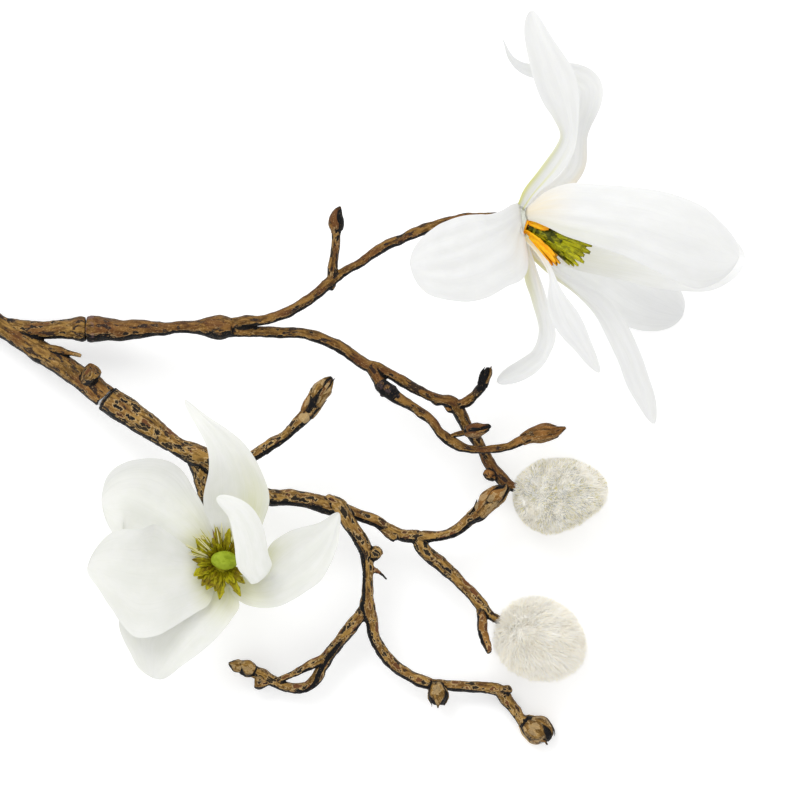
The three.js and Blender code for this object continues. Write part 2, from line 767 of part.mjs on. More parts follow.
// Straps round a collar, standing out from a bloom's axis by their spread.
function crown(middle, form, core = []) {
  const { rise, collar, collarHeight, root, count, width, teeth } = form;
  const pieces = [turned([[0, rise], [collar, rise], [collar, rise + collarHeight], [0, rise + collarHeight]])];
  if (core.length) pieces.push(turned(core));
  for (let i = 0; i < count; i++) {
    const turn = (i / count) * 360;
    const [from, to] = form.bare;
    if ((turn > from && turn < to) || turn > from + 360) continue;
    const spread = THREE.MathUtils.lerp(...form.spread, (i * 0.618) % 1);
    const piece = strap(THREE.MathUtils.lerp(...form.length, (i * 0.382) % 1), width, teeth);
    piece.rotateX(THREE.MathUtils.degToRad(spread));
    piece.translate(0, rise + collarHeight / 2, root);
    piece.rotateY(THREE.MathUtils.degToRad(turn));
    pieces.push(piece);
  }
  return stand(fuse(pieces), middle.place, middle.axis);
}

// A fuzzy bud: an egg whose every facet is raised to a tuft, with a hole for its stem.
function fuzzyBud({ place, axis, long, wide, taper, stem }) {
  const skin = mergeVertices(bare(new THREE.IcosahedronGeometry(1, PILE_DETAIL)), 1e-4);
  const position = skin.attributes.position;
  const points = [];
  for (let i = 0; i < position.count; i++) {
    const [x, y, z] = [position.getX(i), position.getY(i), position.getZ(i)];
    const girth = (wide - PILE_HEIGHT) * (1 - taper * y);
    points.push(new THREE.Vector3(x * girth, y * (long - PILE_HEIGHT), z * girth));
  }
  const triangles = [];
  for (let i = 0; i < skin.index.count; i += 3) {
    const corners = [0, 1, 2].map((k) => skin.index.getX(i + k));
    const [a, b, c] = corners.map((k) => points[k]);
    const outward = b.clone().sub(a).cross(c.clone().sub(a)).normalize();
    const tuft = a.clone().add(b).add(c).divideScalar(3).addScaledVector(outward, PILE_HEIGHT);
    points.push(tuft);
    const peak = points.length - 1;
    corners.forEach((corner, k) => triangles.push([corner, corners[(k + 1) % 3], peak]));
  }
  const egg = stand(meshOf(points, triangles), place, axis);
  const hole = stem.slice(-3).map(([x, y, z, radius]) => [x, y, z, radius + GAP]);
  const [before, end] = hole.slice(-2).map(vector);
  const past = end.clone().add(end.clone().sub(before).setLength(GAP));
  hole[hole.length - 1] = [past.x, past.y, past.z, hole.at(-1)[3]];
  return cut(egg, limb(hole));
}

function bare(geometry) {
  geometry.deleteAttribute('normal');
  geometry.deleteAttribute('uv');
  return geometry;
}

const spray = new THREE.Group();

function add(name, geometry, look) {
  const mesh = new THREE.Mesh(geometry, new THREE.MeshStandardMaterial(look));
  mesh.name = name;
  spray.add(mesh);
}

// Wood
const trunk = [...TRUNK, ...jointStations(LOWER_JOINT, -1, [[0, 4.3], [8, 4.2]])];
const fork = [...TRUNK_FORK, ...jointStations(UPPER_JOINT, -1, [[0, 4.4], [1.5, 4.4], [4.5, 3.9], [9, 3.7]])];
const upperStem = [...jointStations(UPPER_JOINT, 1, [[0, 4.9], [2.5, 5], [6, 4.1]]), ...UPPER_STEM];
const lowerStem = [...jointStations(LOWER_JOINT, 1, [[0, 4.7], [3, 4.9]]), ...LOWER_STEM];

const mainStem = rested(fuse([trunk, fork, SPLINTER, TRUNK_KNOB].map((route) => limb(route))));
const upperSpray = fuse([
  upperStem, UPPER_TWIG, SIDE_TWIG, TWIG_HEEL, MIDDLE_TWIG, MIDDLE_SPUR, CROSSING_TWIG, SMALL_BUD, ...SCALE_NUBS,
].map((route) => limb(route)));
const lowerSpray = rested(fuse([
  lowerStem, BLOOM_STALK, BEHIND_TWIG, SIDE_BRANCH, STUB, BUD_BRANCH, HUSK, FRONT_BRANCH, FRONT_BUMP, TWIGLET,
  LEFT_BRANCH, STRAND, LEFT_KNOB, ELBOW_BUMP, PENDANT_BUD,
].map((route) => limb(route))));

add('main_stem', cut(cut(mainStem, socket(UPPER_JOINT, UPPER_PEG)), socket(LOWER_JOINT, LOWER_PEG)), WOOD);
add('upper_spray', cut(upperSpray, socket(UPPER_JOINT, UPPER_PEG)), WOOD);
add('lower_spray', cut(lowerSpray, socket(LOWER_JOINT, LOWER_PEG)), WOOD);
add('upper_peg', peg(UPPER_JOINT, UPPER_PEG), PEG);
add('lower_peg', peg(LOWER_JOINT, LOWER_PEG), PEG);

// Lower bloom
add('lower_bloom_base', stand(turned(LOWER_BASE.profile), LOWER_BASE.place, LOWER_BASE.axis), BLOOM_BASE);
LOWER_TEPALS.forEach((form, i) => add(`lower_tepal_${i + 1}`, tepal(form), WHITE));
add('lower_bloom_stamens', crown(LOWER_MIDDLE, LOWER_STAMENS), OLIVE);
add('lower_bloom_pistil', stand(turned(LOWER_PISTIL), LOWER_MIDDLE.place, LOWER_MIDDLE.axis), LIME);

// Upper bloom
add('upper_bloom_base', stand(turned(UPPER_BASE.profile), UPPER_BASE.place, UPPER_BASE.axis), BLOOM_BASE);
UPPER_TEPALS.forEach((form, i) => add(`upper_tepal_${i + 1}`, rested(tepal(form)), WHITE));
add('upper_bloom_stamens', crown(UPPER_MIDDLE, UPPER_STAMENS), ORANGE);
add('upper_bloom_pistil', crown(UPPER_MIDDLE, UPPER_PISTIL, UPPER_CORE), OLIVE);

FUZZY_BUDS.forEach((form, i) => add(`fuzzy_bud_${i + 1}`, fuzzyBud(form), FUZZ));

export default spray;
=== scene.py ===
import math
import random

import bmesh
import bpy
import numpy as np
from bpy.props import FloatProperty, FloatVectorProperty, IntProperty, PointerProperty
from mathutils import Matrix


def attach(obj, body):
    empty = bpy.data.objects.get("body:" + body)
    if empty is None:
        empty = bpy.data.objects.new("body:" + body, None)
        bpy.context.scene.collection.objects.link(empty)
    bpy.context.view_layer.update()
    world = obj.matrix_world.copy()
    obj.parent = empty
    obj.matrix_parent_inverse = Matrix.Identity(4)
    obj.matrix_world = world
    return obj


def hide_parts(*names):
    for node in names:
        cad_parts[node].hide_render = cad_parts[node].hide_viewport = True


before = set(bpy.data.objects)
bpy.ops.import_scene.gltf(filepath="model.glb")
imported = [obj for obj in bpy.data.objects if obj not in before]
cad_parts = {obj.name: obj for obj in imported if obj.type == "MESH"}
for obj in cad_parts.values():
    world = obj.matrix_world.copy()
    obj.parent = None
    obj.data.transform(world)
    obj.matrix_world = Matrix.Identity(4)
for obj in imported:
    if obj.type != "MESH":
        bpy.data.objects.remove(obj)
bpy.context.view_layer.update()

# A cut spray of saucer magnolia lying on a pale floor: forked brown wood, two white blooms,
# two fuzzy buds and many small brown buds. The lists of stations and blades are in
# millimetres, as in the solids; the pieces are made in metres.
bl_info = {
    "name": "Magnolia Branch",
    "version": (1, 0, 0),
    "blender": (4, 5, 0),
    "location": "View3D > Sidebar > Magnolia",
    "description": "Builds a cut magnolia branch with white blooms, fuzzy buds and flecked bark",
    "category": "Add Mesh",
}

MM = 0.001
BODY = "root"

# The two sleeve joints: where the wood parts, the way the stem runs there and the gap.
UPPER_JOINT = {"place": (-69, 19, 15.5), "axis": (1, 0, 0.08), "gap": 0.3}
LOWER_JOINT = {"place": (-62, -5.5, 20), "axis": (0.78, -0.6, 0.17), "gap": 1.6}
UPPER_PEG = {"radius": 2.4, "length": 10, "collar": 2.4, "collar_width": 0}
LOWER_PEG = {"radius": 2.6, "length": 11, "collar": 3.9, "collar_width": 1}
PEG_BEVEL = 0.4

# The middle lines of the stems and twigs, as stations: x, y, z and radius.
TRUNK = [
    (-167.5, 45, 3.9, 4.5), (-158, 44.5, 3.9, 4.5), (-148, 43, 4.3, 4.4), (-138, 40.3, 5.7, 4.3),
    (-120, 33, 8.5, 4.1), (-100.5, 20.5, 11.5, 3.8), (-87.5, 12, 13.5, 4.1),
    (-78.5, 6.5, 15.5, 4),
]
TRUNK_FORK = [(-107.5, 23, 9.5, 2.2), (-95, 19.5, 12.5, 3.1), (-84, 18.5, 14, 3.2)]
SPLINTER = [
    (-87.5, 12.5, 14.6, 1.9), (-80, 11.4, 16.8, 1.5), (-74.5, 10.2, 18, 1.1),
    (-70.7, 9.3, 18.6, 0.75),
]
TRUNK_KNOB = [
    (-70, -0.5, 19, 2), (-68.2, 1.2, 22, 2.8), (-66.8, 3, 24.2, 3.2), (-65.8, 4.5, 25.4, 2.9),
]
UPPER_STEM = [
    (-56, 18.5, 17.5, 3.8), (-49.5, 19, 19, 3.4), (-42.5, 19, 21, 2.6), (-35, 19.5, 23.5, 2.2),
    (-28.5, 19.5, 26, 2.7), (-24, 19.5, 27.5, 3.8), (-20, 19.5, 29, 4.3), (-16, 19.5, 30, 3.2),
]
UPPER_TWIG = [
    (-17.5, 20.5, 30, 2.2), (-11.5, 21.4, 30.4, 2.3), (-5.5, 22, 32.5, 1.9), (2, 24, 35, 1.8),
    (8.5, 27.5, 37, 1.9), (15, 32, 39, 2), (19.5, 36, 40, 2.1), (24.5, 39.5, 41.5, 1.6),
    (30.5, 43, 43, 1.6), (37, 47.5, 45, 1.8), (44.5, 51, 47, 1.7), (51.5, 54, 48.5, 2),
    (60.5, 57, 50, 1.7), (71, 59, 51, 1.6), (81.5, 58.5, 52, 1.6),
]
SIDE_TWIG = [
    (19, 35, 39.5, 1.4), (20, 40.5, 42, 1.8), (21, 48, 44.5, 1.7), (21.5, 53.5, 46.5, 1.8),
    (21.5, 56, 47.5, 2.6), (21.5, 59, 48.5, 2.3), (22, 61, 49, 1.4), (23, 62.5, 49.5, 0.4),
]
TWIG_HEEL = [(17.5, 35.5, 39, 1.6), (19.4, 34.6, 38.8, 2.1), (20.8, 33.7, 38.4, 1.5)]
MIDDLE_TWIG = [
    (-17.5, 18, 29, 2.2), (-11.5, 18.2, 29.4, 2.2), (-5.5, 18, 29, 2), (2, 17.5, 28.5, 1.9),
    (8.5, 17.5, 28, 2), (15.5, 15.5, 27.5, 2.1), (22.5, 12.5, 27, 2.2), (27, 9.5, 26.5, 2.2),
    (32, 6, 26, 2.2), (36.5, 4.5, 25, 2.2), (44.5, 0.5, 23, 1.9), (51.5, -3.5, 21.5, 1.8),
    (58.5, -6.5, 20, 1.9), (63, -7.5, 19, 2.2), (65.5, -10.5, 18, 2.5), (68, -15.5, 16, 2.2),
    (71.5, -20.5, 13.5, 2.2), (74.5, -25.5, 12.5, 2.1), (77, -30, 13.5, 2.2), (80, -34, 15, 2.3),
    (83.5, -37.5, 16, 2.1), (88, -39, 16, 1.4),
]
MIDDLE_SPUR = [
    (64.5, -8.5, 19, 1.6), (68, -7.5, 20, 1.8), (71, -5, 21.5, 1.8), (73.5, -2, 23, 1.6),
    (74.5, 0.5, 24, 1.7), (75.5, 3, 25, 1.6), (76, 5, 26, 0.7),
]
CROSSING_TWIG = [
    (34, 5, 26, 2.2), (36.5, 0.5, 26, 2.2), (38.5, -2, 26.5, 2.7), (41, -4, 27, 2.8),
    (43.5, -6, 27, 2), (48, -8.5, 26.5, 1.8), (51.5, -11, 26, 1.9), (55.5, -14, 25.5, 1.7),
    (59, -18.5, 25, 1.8), (62.5, -21.5, 24, 1.9), (66.5, -23.5, 23, 1.7), (72, -24.5, 22.5, 1.5),
    (77.5, -24.5, 23, 1.5), (83, -23.5, 24, 1.5), (87.5, -21.5, 25, 1.6),
    (91.5, -19.5, 25.5, 2.5), (96, -18.5, 26, 3.2), (100, -18, 26.5, 2.2), (104, -16.5, 27, 0.4),
]
SMALL_BUD = [
    (61, -20, 24.5, 0.7), (65, -19, 25.5, 0.8), (67.5, -18.5, 26, 1.1), (69, -18, 26, 2),
    (71.5, -17.5, 26.5, 2.6), (74.5, -17, 27, 1.6), (77, -16, 27, 0.4),
]
SCALE_NUBS = [
    [(56, -6.5, 20.5, 1.1), (57.5, -7.5, 20, 1.4), (59, -8, 19.5, 0.7)],
    [(60.5, -8, 19, 1.1), (62.5, -10, 18.5, 1.6), (64, -11, 18, 0.7)],
    [(78.5, -35, 15.5, 1.4), (76.3, -33.8, 16.5, 1.9), (74.6, -32.6, 17, 1.1)],
]
KNUCKLES = [
    [(37.5, -1, 28, 1.3), (37, -2.3, 28.8, 1.1)],
    [(39.5, -2.5, 28.6, 1.4), (40.2, -3.8, 29.2, 1.2)],
    [(41.5, -2.4, 27.6, 1.1), (42.6, -2.4, 28.2, 1)],
    [(38.2, -4.3, 26.8, 1.2), (37.9, -5.4, 27.2, 1)],
    [(42.5, -5.3, 28, 1.1), (43.8, -5.4, 28.6, 0.9)],
]
LOWER_STEM = [
    (-53, -11.5, 22.5, 4.9), (-46.5, -16, 24, 4.5), (-41, -20, 25, 3.6), (-35, -24, 26, 3.4),
    (-30, -26, 26.5, 4.1), (-25.5, -28, 26, 3.8), (-19, -33, 25, 3.1), (-11, -37.5, 24, 2.9),
    (-3.5, -41.5, 23, 3), (4.5, -42, 22.5, 3), (12, -43, 22, 3.1), (18.5, -45, 21, 3.2),
    (22.5, -47, 20, 2.3),
]
BLOOM_STALK = [
    (-30, -26, 25.5, 3.2), (-28, -32, 24, 3.1), (-26.5, -41, 21, 2.3), (-24, -50.5, 19.5, 2.2),
    (-21.5, -58.5, 19, 2.2), (-19.8, -64, 21, 2.3), (-19.5, -65.5, 24, 2.4),
    (-19.5, -65.5, 26.4, 2.5),
]
BEHIND_TWIG = [
    (-18.5, -32, 26, 2.2), (-13.5, -29.5, 27, 2.2), (-7.5, -26, 28, 2.2), (-2, -22.5, 29, 2.2),
    (3, -19.5, 30, 2), (7, -15.5, 31, 2.2), (10.5, -12, 32, 2.6), (12.5, -9, 33, 2.9),
    (15, -5, 34, 3), (16.5, -2.5, 35, 3.1), (18.5, 0, 35.5, 2), (20, 1.5, 36, 0.4),
]
SIDE_BRANCH = [
    (19, -45, 20, 2.5), (24.5, -46.5, 19, 2.5), (30, -48.5, 18, 2.2), (35.5, -50.5, 17, 2.2),
    (40.5, -53.5, 16.5, 2.3), (45, -55.5, 16, 2.2), (50.5, -56, 16, 2.5), (56, -56, 16, 2),
    (61.5, -55, 16.5, 2), (66, -53, 17, 2.1), (69, -50, 18, 2.2), (72.5, -47.5, 19.5, 2.5),
    (74.5, -45.5, 20.5, 3), (77, -42.5, 22, 3.5), (80, -40, 23.5, 3), (82, -38.5, 24.5, 1.5),
    (82.5, -37, 25, 0.4),
]
STUB = [(36.5, -51, 17, 1.6), (40, -54.5, 17, 1.8), (43, -56.5, 17.5, 1.6)]
BUD_BRANCH = [
    (50.5, -55, 16, 2.3), (52, -59.5, 15.5, 2.7), (54.5, -62.5, 15.5, 2.6),
    (58.5, -65.5, 15.5, 2.7), (64, -70.5, 15.5, 2.3), (69.5, -76, 15.5, 2.2),
    (73.5, -80.5, 16, 2.3), (76.5, -84, 16.5, 2), (81, -87, 17, 1.4),
]
HUSK = [
    (73.5, -82, 16, 1.6), (74, -86, 18.5, 1.9), (74, -90.5, 22, 1.9), (75.5, -94.5, 25, 1.6),
    (76.5, -97.5, 27, 0.9),
]
FRONT_BRANCH = [
    (17.5, -42.5, 21, 2.3), (22.5, -45, 22.5, 2.9), (25.5, -50, 22.5, 2.7),
    (29, -55.5, 21.5, 2.7), (32, -61, 20, 2.6), (32.5, -66.5, 19, 2.2), (32.5, -72.5, 18, 2.2),
    (32.5, -78, 17.5, 2.4), (32.5, -81.5, 17, 2.9), (34, -86.5, 16, 2.3), (35, -92, 14.5, 2.2),
    (37.5, -97, 13, 2.2), (41, -101.5, 11.5, 2.2), (45.5, -105, 10.5, 2.1), (51, -108, 9.5, 2.2),
    (56, -109.5, 8.5, 2.2), (62.5, -110, 7.5, 2), (69.5, -110.5, 6.5, 2), (77, -111, 6, 2.2),
    (80.5, -112, 5.5, 2.3), (83, -115.5, 5.3, 2.3), (86, -119, 5.3, 2.1), (88, -122, 5.4, 1.9),
    (90, -123.5, 5.3, 3.3), (92, -125, 5.2, 4.6), (94.5, -126.5, 5.2, 5.2),
    (97, -128.5, 5.5, 3.8), (98, -130, 6, 1.2),
]
FRONT_BUMP = [(33.5, -61, 20, 1.8), (35.5, -62, 20, 2.9), (37, -63.5, 20, 2.2)]
TWIGLET = [(34, -67.5, 19, 0.9), (37, -69, 19.5, 0.7), (39.5, -71.5, 20, 0.4)]
LEFT_BRANCH = [
    (33, -80, 17, 2.2), (30, -84.5, 16, 2.3), (26, -89.5, 14.5, 2.4), (22, -94.5, 13, 2.3),
    (18.5, -99, 12, 2.5), (16, -103.5, 11, 2.2), (14, -107.5, 10, 2.2), (10.5, -110.5, 9, 2),
    (6, -111, 8, 1.9), (1.5, -110, 7.5, 2), (-2.5, -108, 7.5, 2.2), (-5.5, -106.2, 7.5, 2.6),
    (-7.8, -105.2, 7.5, 2.1), (-9.2, -104.6, 7.5, 2.3), (-10.9, -104, 7.5, 3.1),
    (-12.6, -103.5, 7.5, 2.7), (-13.6, -103.2, 7.5, 2.2), (-15.2, -102.8, 7.5, 2.3),
    (-17.6, -102, 7.5, 0.4),
]
STRAND = [
    (18, -99, 12, 1.6), (14.5, -101, 13, 1.7), (11, -103, 13, 1.4), (7, -105, 11.5, 1.3),
    (3, -107, 9.5, 1.3), (-0.5, -108.5, 8, 1.3),
]
LEFT_KNOB = [(-3.5, -108, 7.5, 1.8), (-6.5, -109, 7.5, 2.7), (-8.5, -109, 7.5, 2)]
ELBOW_BUMP = [(80.5, -111.5, 6.5, 1.4), (83.5, -111.5, 7.5, 1.8), (85, -111.5, 8, 0.9)]
PENDANT_BUD = [
    (57.5, -109, 9, 1.8), (57.5, -111, 9.5, 3), (58, -114, 10, 3.5), (58, -117, 10.5, 1.9),
]

# The limbs: each one's path, as stations or as the name of a stem that a joint is added to, and
# what it carries. A bud at its end has a length and lists its scales: the way each looks (degrees
# from straight up, to the bud's right), where it starts and ends along the bud, how far round
# it reaches (degrees), how far its tip stands off and its paint. Spikes are small stiff hairs.
# Paint is laid between two places, in millimetres from the limb's start, or from its end if
# below 0, with its strength; burnt on a bud's core is painted shade in the gaps
# between its scales. A band is a strip of painted shade along a limb's shaded side: the way it
# looks, its half width in degrees, and where it starts and ends. A slant is a slanting end: the
# side that reaches on, how far and over what length.
MAIN_LIMBS = [
    {"path": "trunk", "paint": [("amber", -6, 0, 0.35)], "slant": ((0.6, 0.78, 0), 1.45, 6)},
    {"path": "fork", "paint": [("burnt", -0.7, 0, 0.7), ("burnt", 0, 12, 0.35)]},
    {"path": SPLINTER, "paint": [("pale", -2.5, 0, 0.35), ("amber", -9, 0, 0.3)]},
    {"path": TRUNK_KNOB, "paint": [("burnt", 0, 2.4, 0.8)]},
]
UPPER_LIMBS = [
    {"path": "upper_stem", "band": ((0, -1, 0.45), 13, 4, 30),
     "paint": [("sheen", 0, 2.4, 0.45), ("burnt", 0, 0.8, 0.5), ("rusty", 4, 44, 0.3)]},
    {"path": UPPER_TWIG},
    {"path": SIDE_TWIG, "paint": [("burnt", -8, 0, 0.5)],
     "bud": (9.5, [(70, 0.05, 0.95, 95, 0.1, "burnt"), (-30, 0.15, 1, 95, 0, "rusty"),
                   (30, 0.4, 1, 40, 0.2, "burnt"), (-45, -0.05, 0.45, 45, 0.4, "amber")])},
    {"path": TWIG_HEEL},
    {"path": MIDDLE_TWIG, "spikes": 24, "band": ((0, -1, 0.6), 16, 2, 24)},
    {"path": MIDDLE_SPUR, "paint": [("burnt", -9, 0, 0.7)],
     "bud": (7.5, [(-75, 0, 1.05, 45, 0.5, "burnt"), (-10, 0.3, 1.0, 28, 0.1, "burnt"),
                   (55, 0.25, 1.18, 36, 0.5, "light"), (110, 0, 0.95, 60, 0.2, "burnt")])},
    {"path": CROSSING_TWIG, "paint": [("burnt", 6.5, 13.5, 0.75), ("rusty", 9, 11, 0.3),
                                         ("amber", -19, 0, 0.5)],
     "bud": (17, [(80, 0, 0.8, 45, 0.15, "amber"), (-80, 0.02, 0.85, 45, 0.15, "amber"),
                  (0, 0.05, 0.9, 40, 0.2, "amber"), (40, 0.2, 1, 30, 0.15, "amber"),
                  (-40, 0.15, 0.95, 30, 0.15, "amber"), (180, 0, 0.9, 75, 0.15, "amber")])},
    {"path": SMALL_BUD, "paint": [("burnt", -9, 0, 0.9)],
     "bud": (10, [(60, 0, 0.85, 80, 0.2, "rusty"), (-60, 0.1, 0.95, 90, 0.1, "rusty"),
                  (120, 0, 0.9, 45, 0.3, "burnt"), (-10, 0.2, 0.75, 18, 0.3, "burnt"),
                  (20, 0.45, 0.9, 14, 0.4, "amber")])},
    *({"path": nub, "paint": [("amber", 0, 9, 0.9)]} for nub in SCALE_NUBS),
    *({"path": knuckle, "paint": [("burnt", 0, 9, 0.7), ("sheen", 0, 9, 0.25)]}
      for knuckle in KNUCKLES),
]
LOWER_LIMBS = [
    {"path": "lower_stem", "paint": [("burnt", 0, 1.6, 0.75)],
     "band": ((0, -1, 0.95), 24, 64, 200)},
    {"path": BLOOM_STALK},
    {"path": BEHIND_TWIG, "paint": [("burnt", -12, 0, 1)],
     "band": ((0.5, -0.8, 0.75), 34, 0, 40),
     "bud": (17, [(150, -0.1, 0.35, 60, 0.5, "light"), (5, -0.14, 0.1, 55, 0.5, "pale"),
                  (-75, 0.02, 0.6, 70, 0.5, "amber"), (100, 0.0, 0.5, 55, 0.5, "light"),
                  (-50, 0.42, 1, 75, 0.2, "light"), (62, 0.3, 1.03, 68, 0.4, "light"),
                  (-5, 0.1, 0.72, 26, 0.5, "burnt"), (12, 0.5, 0.98, 12, 0.5, "rusty")])},
    {"path": SIDE_BRANCH, "band": ((0.1, -1, 0.8), 30, 4, 56), "paint": [("burnt", -12, 0, 1)],
     "bud": (15, [(130, -0.4, 0.25, 50, 0.9, "light"), (-95, -0.3, 0.2, 55, 0.8, "light"),
                  (-60, -0.02, 0.85, 75, 0.3, "amber"), (40, -0.02, 0.66, 75, 0.4, "light"),
                  (95, 0.2, 0.95, 60, 0.3, "light"), (10, 0.42, 1.06, 70, 0.2, "amber"),
                  (40, 0.5, 0.8, 14, 0.4, "rusty")])},
    {"path": STUB},
    {"path": BUD_BRANCH, "spikes": 34},
    {"path": HUSK, "band": ((-1, 0, 0.6), 32, 0, 30), "paint": [("amber", 3, 30, 0.6)]},
    {"path": FRONT_BRANCH, "paint": [("burnt", -10, 0, 1)],
     "band": ((-0.8, -0.8, 0.8), 26, 12, 106),
     "bud": (11, [(170, 0, 0.95, 80, 0.4, "amber"), (112, -0.1, 0.95, 50, 0.6, "pale"),
                  (-108, -0.05, 0.95, 60, 0.7, "light"), (50, 0.3, 1.12, 60, 0.2, "amber"),
                  (-52, 0.08, 1, 32, 0.7, "light"), (10, 0, 1.02, 62, 0.9, "light")])},
    {"path": FRONT_BUMP},
    {"path": TWIGLET, "paint": [("rusty", 0, 9, 0.95), ("burnt", -3, 0, 0.8)]},
    {"path": LEFT_BRANCH, "paint": [("burnt", -10.5, 0, 1)],
     "band": ((-0.5, -1, 0.7), 26, 14, 46),
     "bud": (15, [(15, 0.68, 1.02, 100, 0.1, "light"), (195, 0.68, 1, 95, 0.1, "light"),
                  (25, 0.36, 0.76, 95, 0.2, "light"), (205, 0.36, 0.74, 90, 0.2, "light"),
                  (-60, 0.05, 0.4, 60, 0.4, "light")])},
    {"path": STRAND},
    {"path": LEFT_KNOB},
    {"path": ELBOW_BUMP},
    {"path": PENDANT_BUD, "paint": [("burnt", 1, 9, 1)],
     "bud": (8.5, [(105, 0.1, 1.08, 45, 0.4, "rusty"), (-105, 0.1, 1.0, 45, 0.4, "light"),
                   (0, -0.05, 1.2, 72, 0.4, "light"), (180, 0, 1, 80, 0.3, "light")])},
]

# A bloom's base is a turned knob: its place, its axis and its profile (radius, height).
LOWER_BASE = {
    "place": (-19.5, -65.5, 26.8),
    "axis": (0, 0, 1),
    "profile": [(0, 0), (2.6, 0), (4.2, 2), (4.2, 5), (3.4, 5.5), (0, 5.5)],
}
UPPER_BASE = {
    "place": (82.3, 58.2, 52),
    "axis": (0.94, -0.28, 0.12),
    "profile": [(0, 0), (2, 0), (4.4, 2.4), (5, 6.4), (4.4, 7.6), (0, 7.6)],
}

# A tepal: its spine from claw to tip, its half widths to the left and the right of the
# spine, the ways its inner face looks from claw to tip, how far its edges rise (cup, crease),
# its lengthwise ribs (how many, how high), the waves of its edges (how many, how high, where
# they start), how white it is (raised or lowered tepal by tepal as painted light and shade, to
# even out how the light falls on it) and its tints: colour (grey is painted shade on folds and
# curled tips), place across (-1 to 1), half width, the shares of the length where it begins to
# fade and is gone, and strength.
FLAT_TEPAL = {"face": [(0, 0, 1)], "crease": 0}
LOWER_TEPALS = [
    {
        "spine": [(-23.4, -62.5, 30), (-33.1, -54.9, 33), (-43.8, -47.6, 35), (-53.5, -43, 38),
                  (-62.9, -43.8, 40)],
        "left": [2.2, 8.8, 13.6, 17.6, 20.4, 22, 24, 20.9],
        "right": [2.2, 7.8, 12.1, 15.4, 18.8, 19, 15, 12.4],
        "cup": 0.18, "ribs": (4, 0.2), "waves": (2, 0.7, 0.4), "white": 1.04,
        "tints": [("green", 0, 0.9, 0, 0.38, 0.75), ("green", 0.6, 0.5, 0.1, 0.6, 0.25),
                  ("grey", 0.9, 0.32, 2, 3, 0.24), ("grey", 0.5, 0.04, 0.9, 0.4, 0.14)],
    },
    {
        "spine": [(-23.4, -67.1, 32), (-34.4, -69.6, 36.5), (-45.8, -70.2, 43), (-56.8, -68.7, 48),
                  (-67.7, -66.1, 50)],
        "left": [6, 12.2, 14.2, 16.5, 18.8, 21.2, 21.9, 17.7, 12.8, 8.4, 7.6],
        "right": [3, 7.4, 11.2, 14.1, 17, 19.2, 18.7, 17.2, 17.4, 17.7, 15.9],
        "cup": 0.15, "ribs": (3, 0.15), "waves": (2.5, 0.8, 0.1), "white": 0.985,
        "tints": [("green", -0.3, 0.9, 0, 0.26, 0.7)],
    },
    {
        "spine": [(-20.2, -70.4, 30), (-26.6, -80.4, 33), (-34.1, -89.4, 35), (-40.2, -98.3, 36),
                  (-43.5, -107, 35)],
        "left": [5, 11, 11.4, 11.4, 11, 10, 8.6, 7.3, 6.6],
        "right": [2.2, 6.2, 9.7, 12.2, 15.2, 18.8, 21.6, 14, 12.6],
        "cup": 0.15, "ribs": (4, 0.15), "waves": (2, 0.8, 0.7), "white": 0.97,
        "tints": [("green", 0, 1.2, 0, 0.42, 0.65), ("grey", 0.3, 0.35, 0.75, 0.45, 0.12)],
    },
    {
        "spine": [(-18, -60.9, 31.5), (-14.7, -48, 36.5), (-13.8, -36.4, 47), (-16.9, -25.6, 56),
                  (-24.3, -15.2, 59), (-32.6, -6.5, 57)],
        "left": [2.2, 8, 11.5, 12.5, 11.2, 8.3, 5.2, 4.1, 3.7],
        "right": [2.2, 8.6, 10.4, 11.2, 9.5, 7.6, 4.7, 1.9, 1.7],
        "face": [(0, -0.4, 1)],
        "cup": 0.3, "ribs": (3, 0.2), "waves": (1.5, 0.6, 0.2), "white": 1.05,
        "tints": [("green", 0.5, 0.5, 0.1, 0.75, 0.45), ("grey", -0.9, 0.5, 0.2, 0.7, 0.08)],
    },
    {
        "spine": [(-13.2, -66.6, 32), (-5.8, -71.3, 37.2), (-7.4, -66.3, 48.5), (-9, -56.5, 59),
                  (-12.8, -47.5, 66.5), (-20.8, -41.2, 71)],
        "left": [2, 5.4, 6.1, 5.8, 5.2, 4.4],
        "right": [2, 4, 6.2, 6, 5.2, 4.4],
        "face": [(-0.4, 0.3, 0.85), (-0.4, 0.9, 0), (-0.3, 0.8, -0.6), (0, 0.4, -0.9)],
        "cup": 0.35, "ribs": (2, 0.1), "waves": (1.5, 0.3, 0.5), "white": 1.12,
        "tints": [("green", 0, 1, 0, 0.22, 0.3)],
    },
    {
        "spine": [(-15.6, -68.6, 30), (-7.2, -72.9, 31.5), (1.9, -69.6, 36.5), (10.2, -64.1, 41),
                  (17.4, -56.5, 42.5), (22.4, -47.2, 41)],
        "left": [2.2, 4.2, 5.1, 6, 10, 12, 12.3, 11.3, 8.8, 5.3, 3.9],
        "right": [5, 7.4, 8.4, 9.6, 9.7, 9.4, 9.4, 7.7, 5.8, 3.8, 2.9],
        "cup": 0.3, "ribs": (3, 0.2), "waves": (2, 0.6, 0.3), "white": 0.98,
        "tints": [("green", -0.9, 0.4, 0, 0.78, 0.8), ("green", 0, 1.4, 0, 0.34, 0.6),
                  ("grey", 0.55, 0.22, 0.9, 0.6, 0.3)],
    },
]
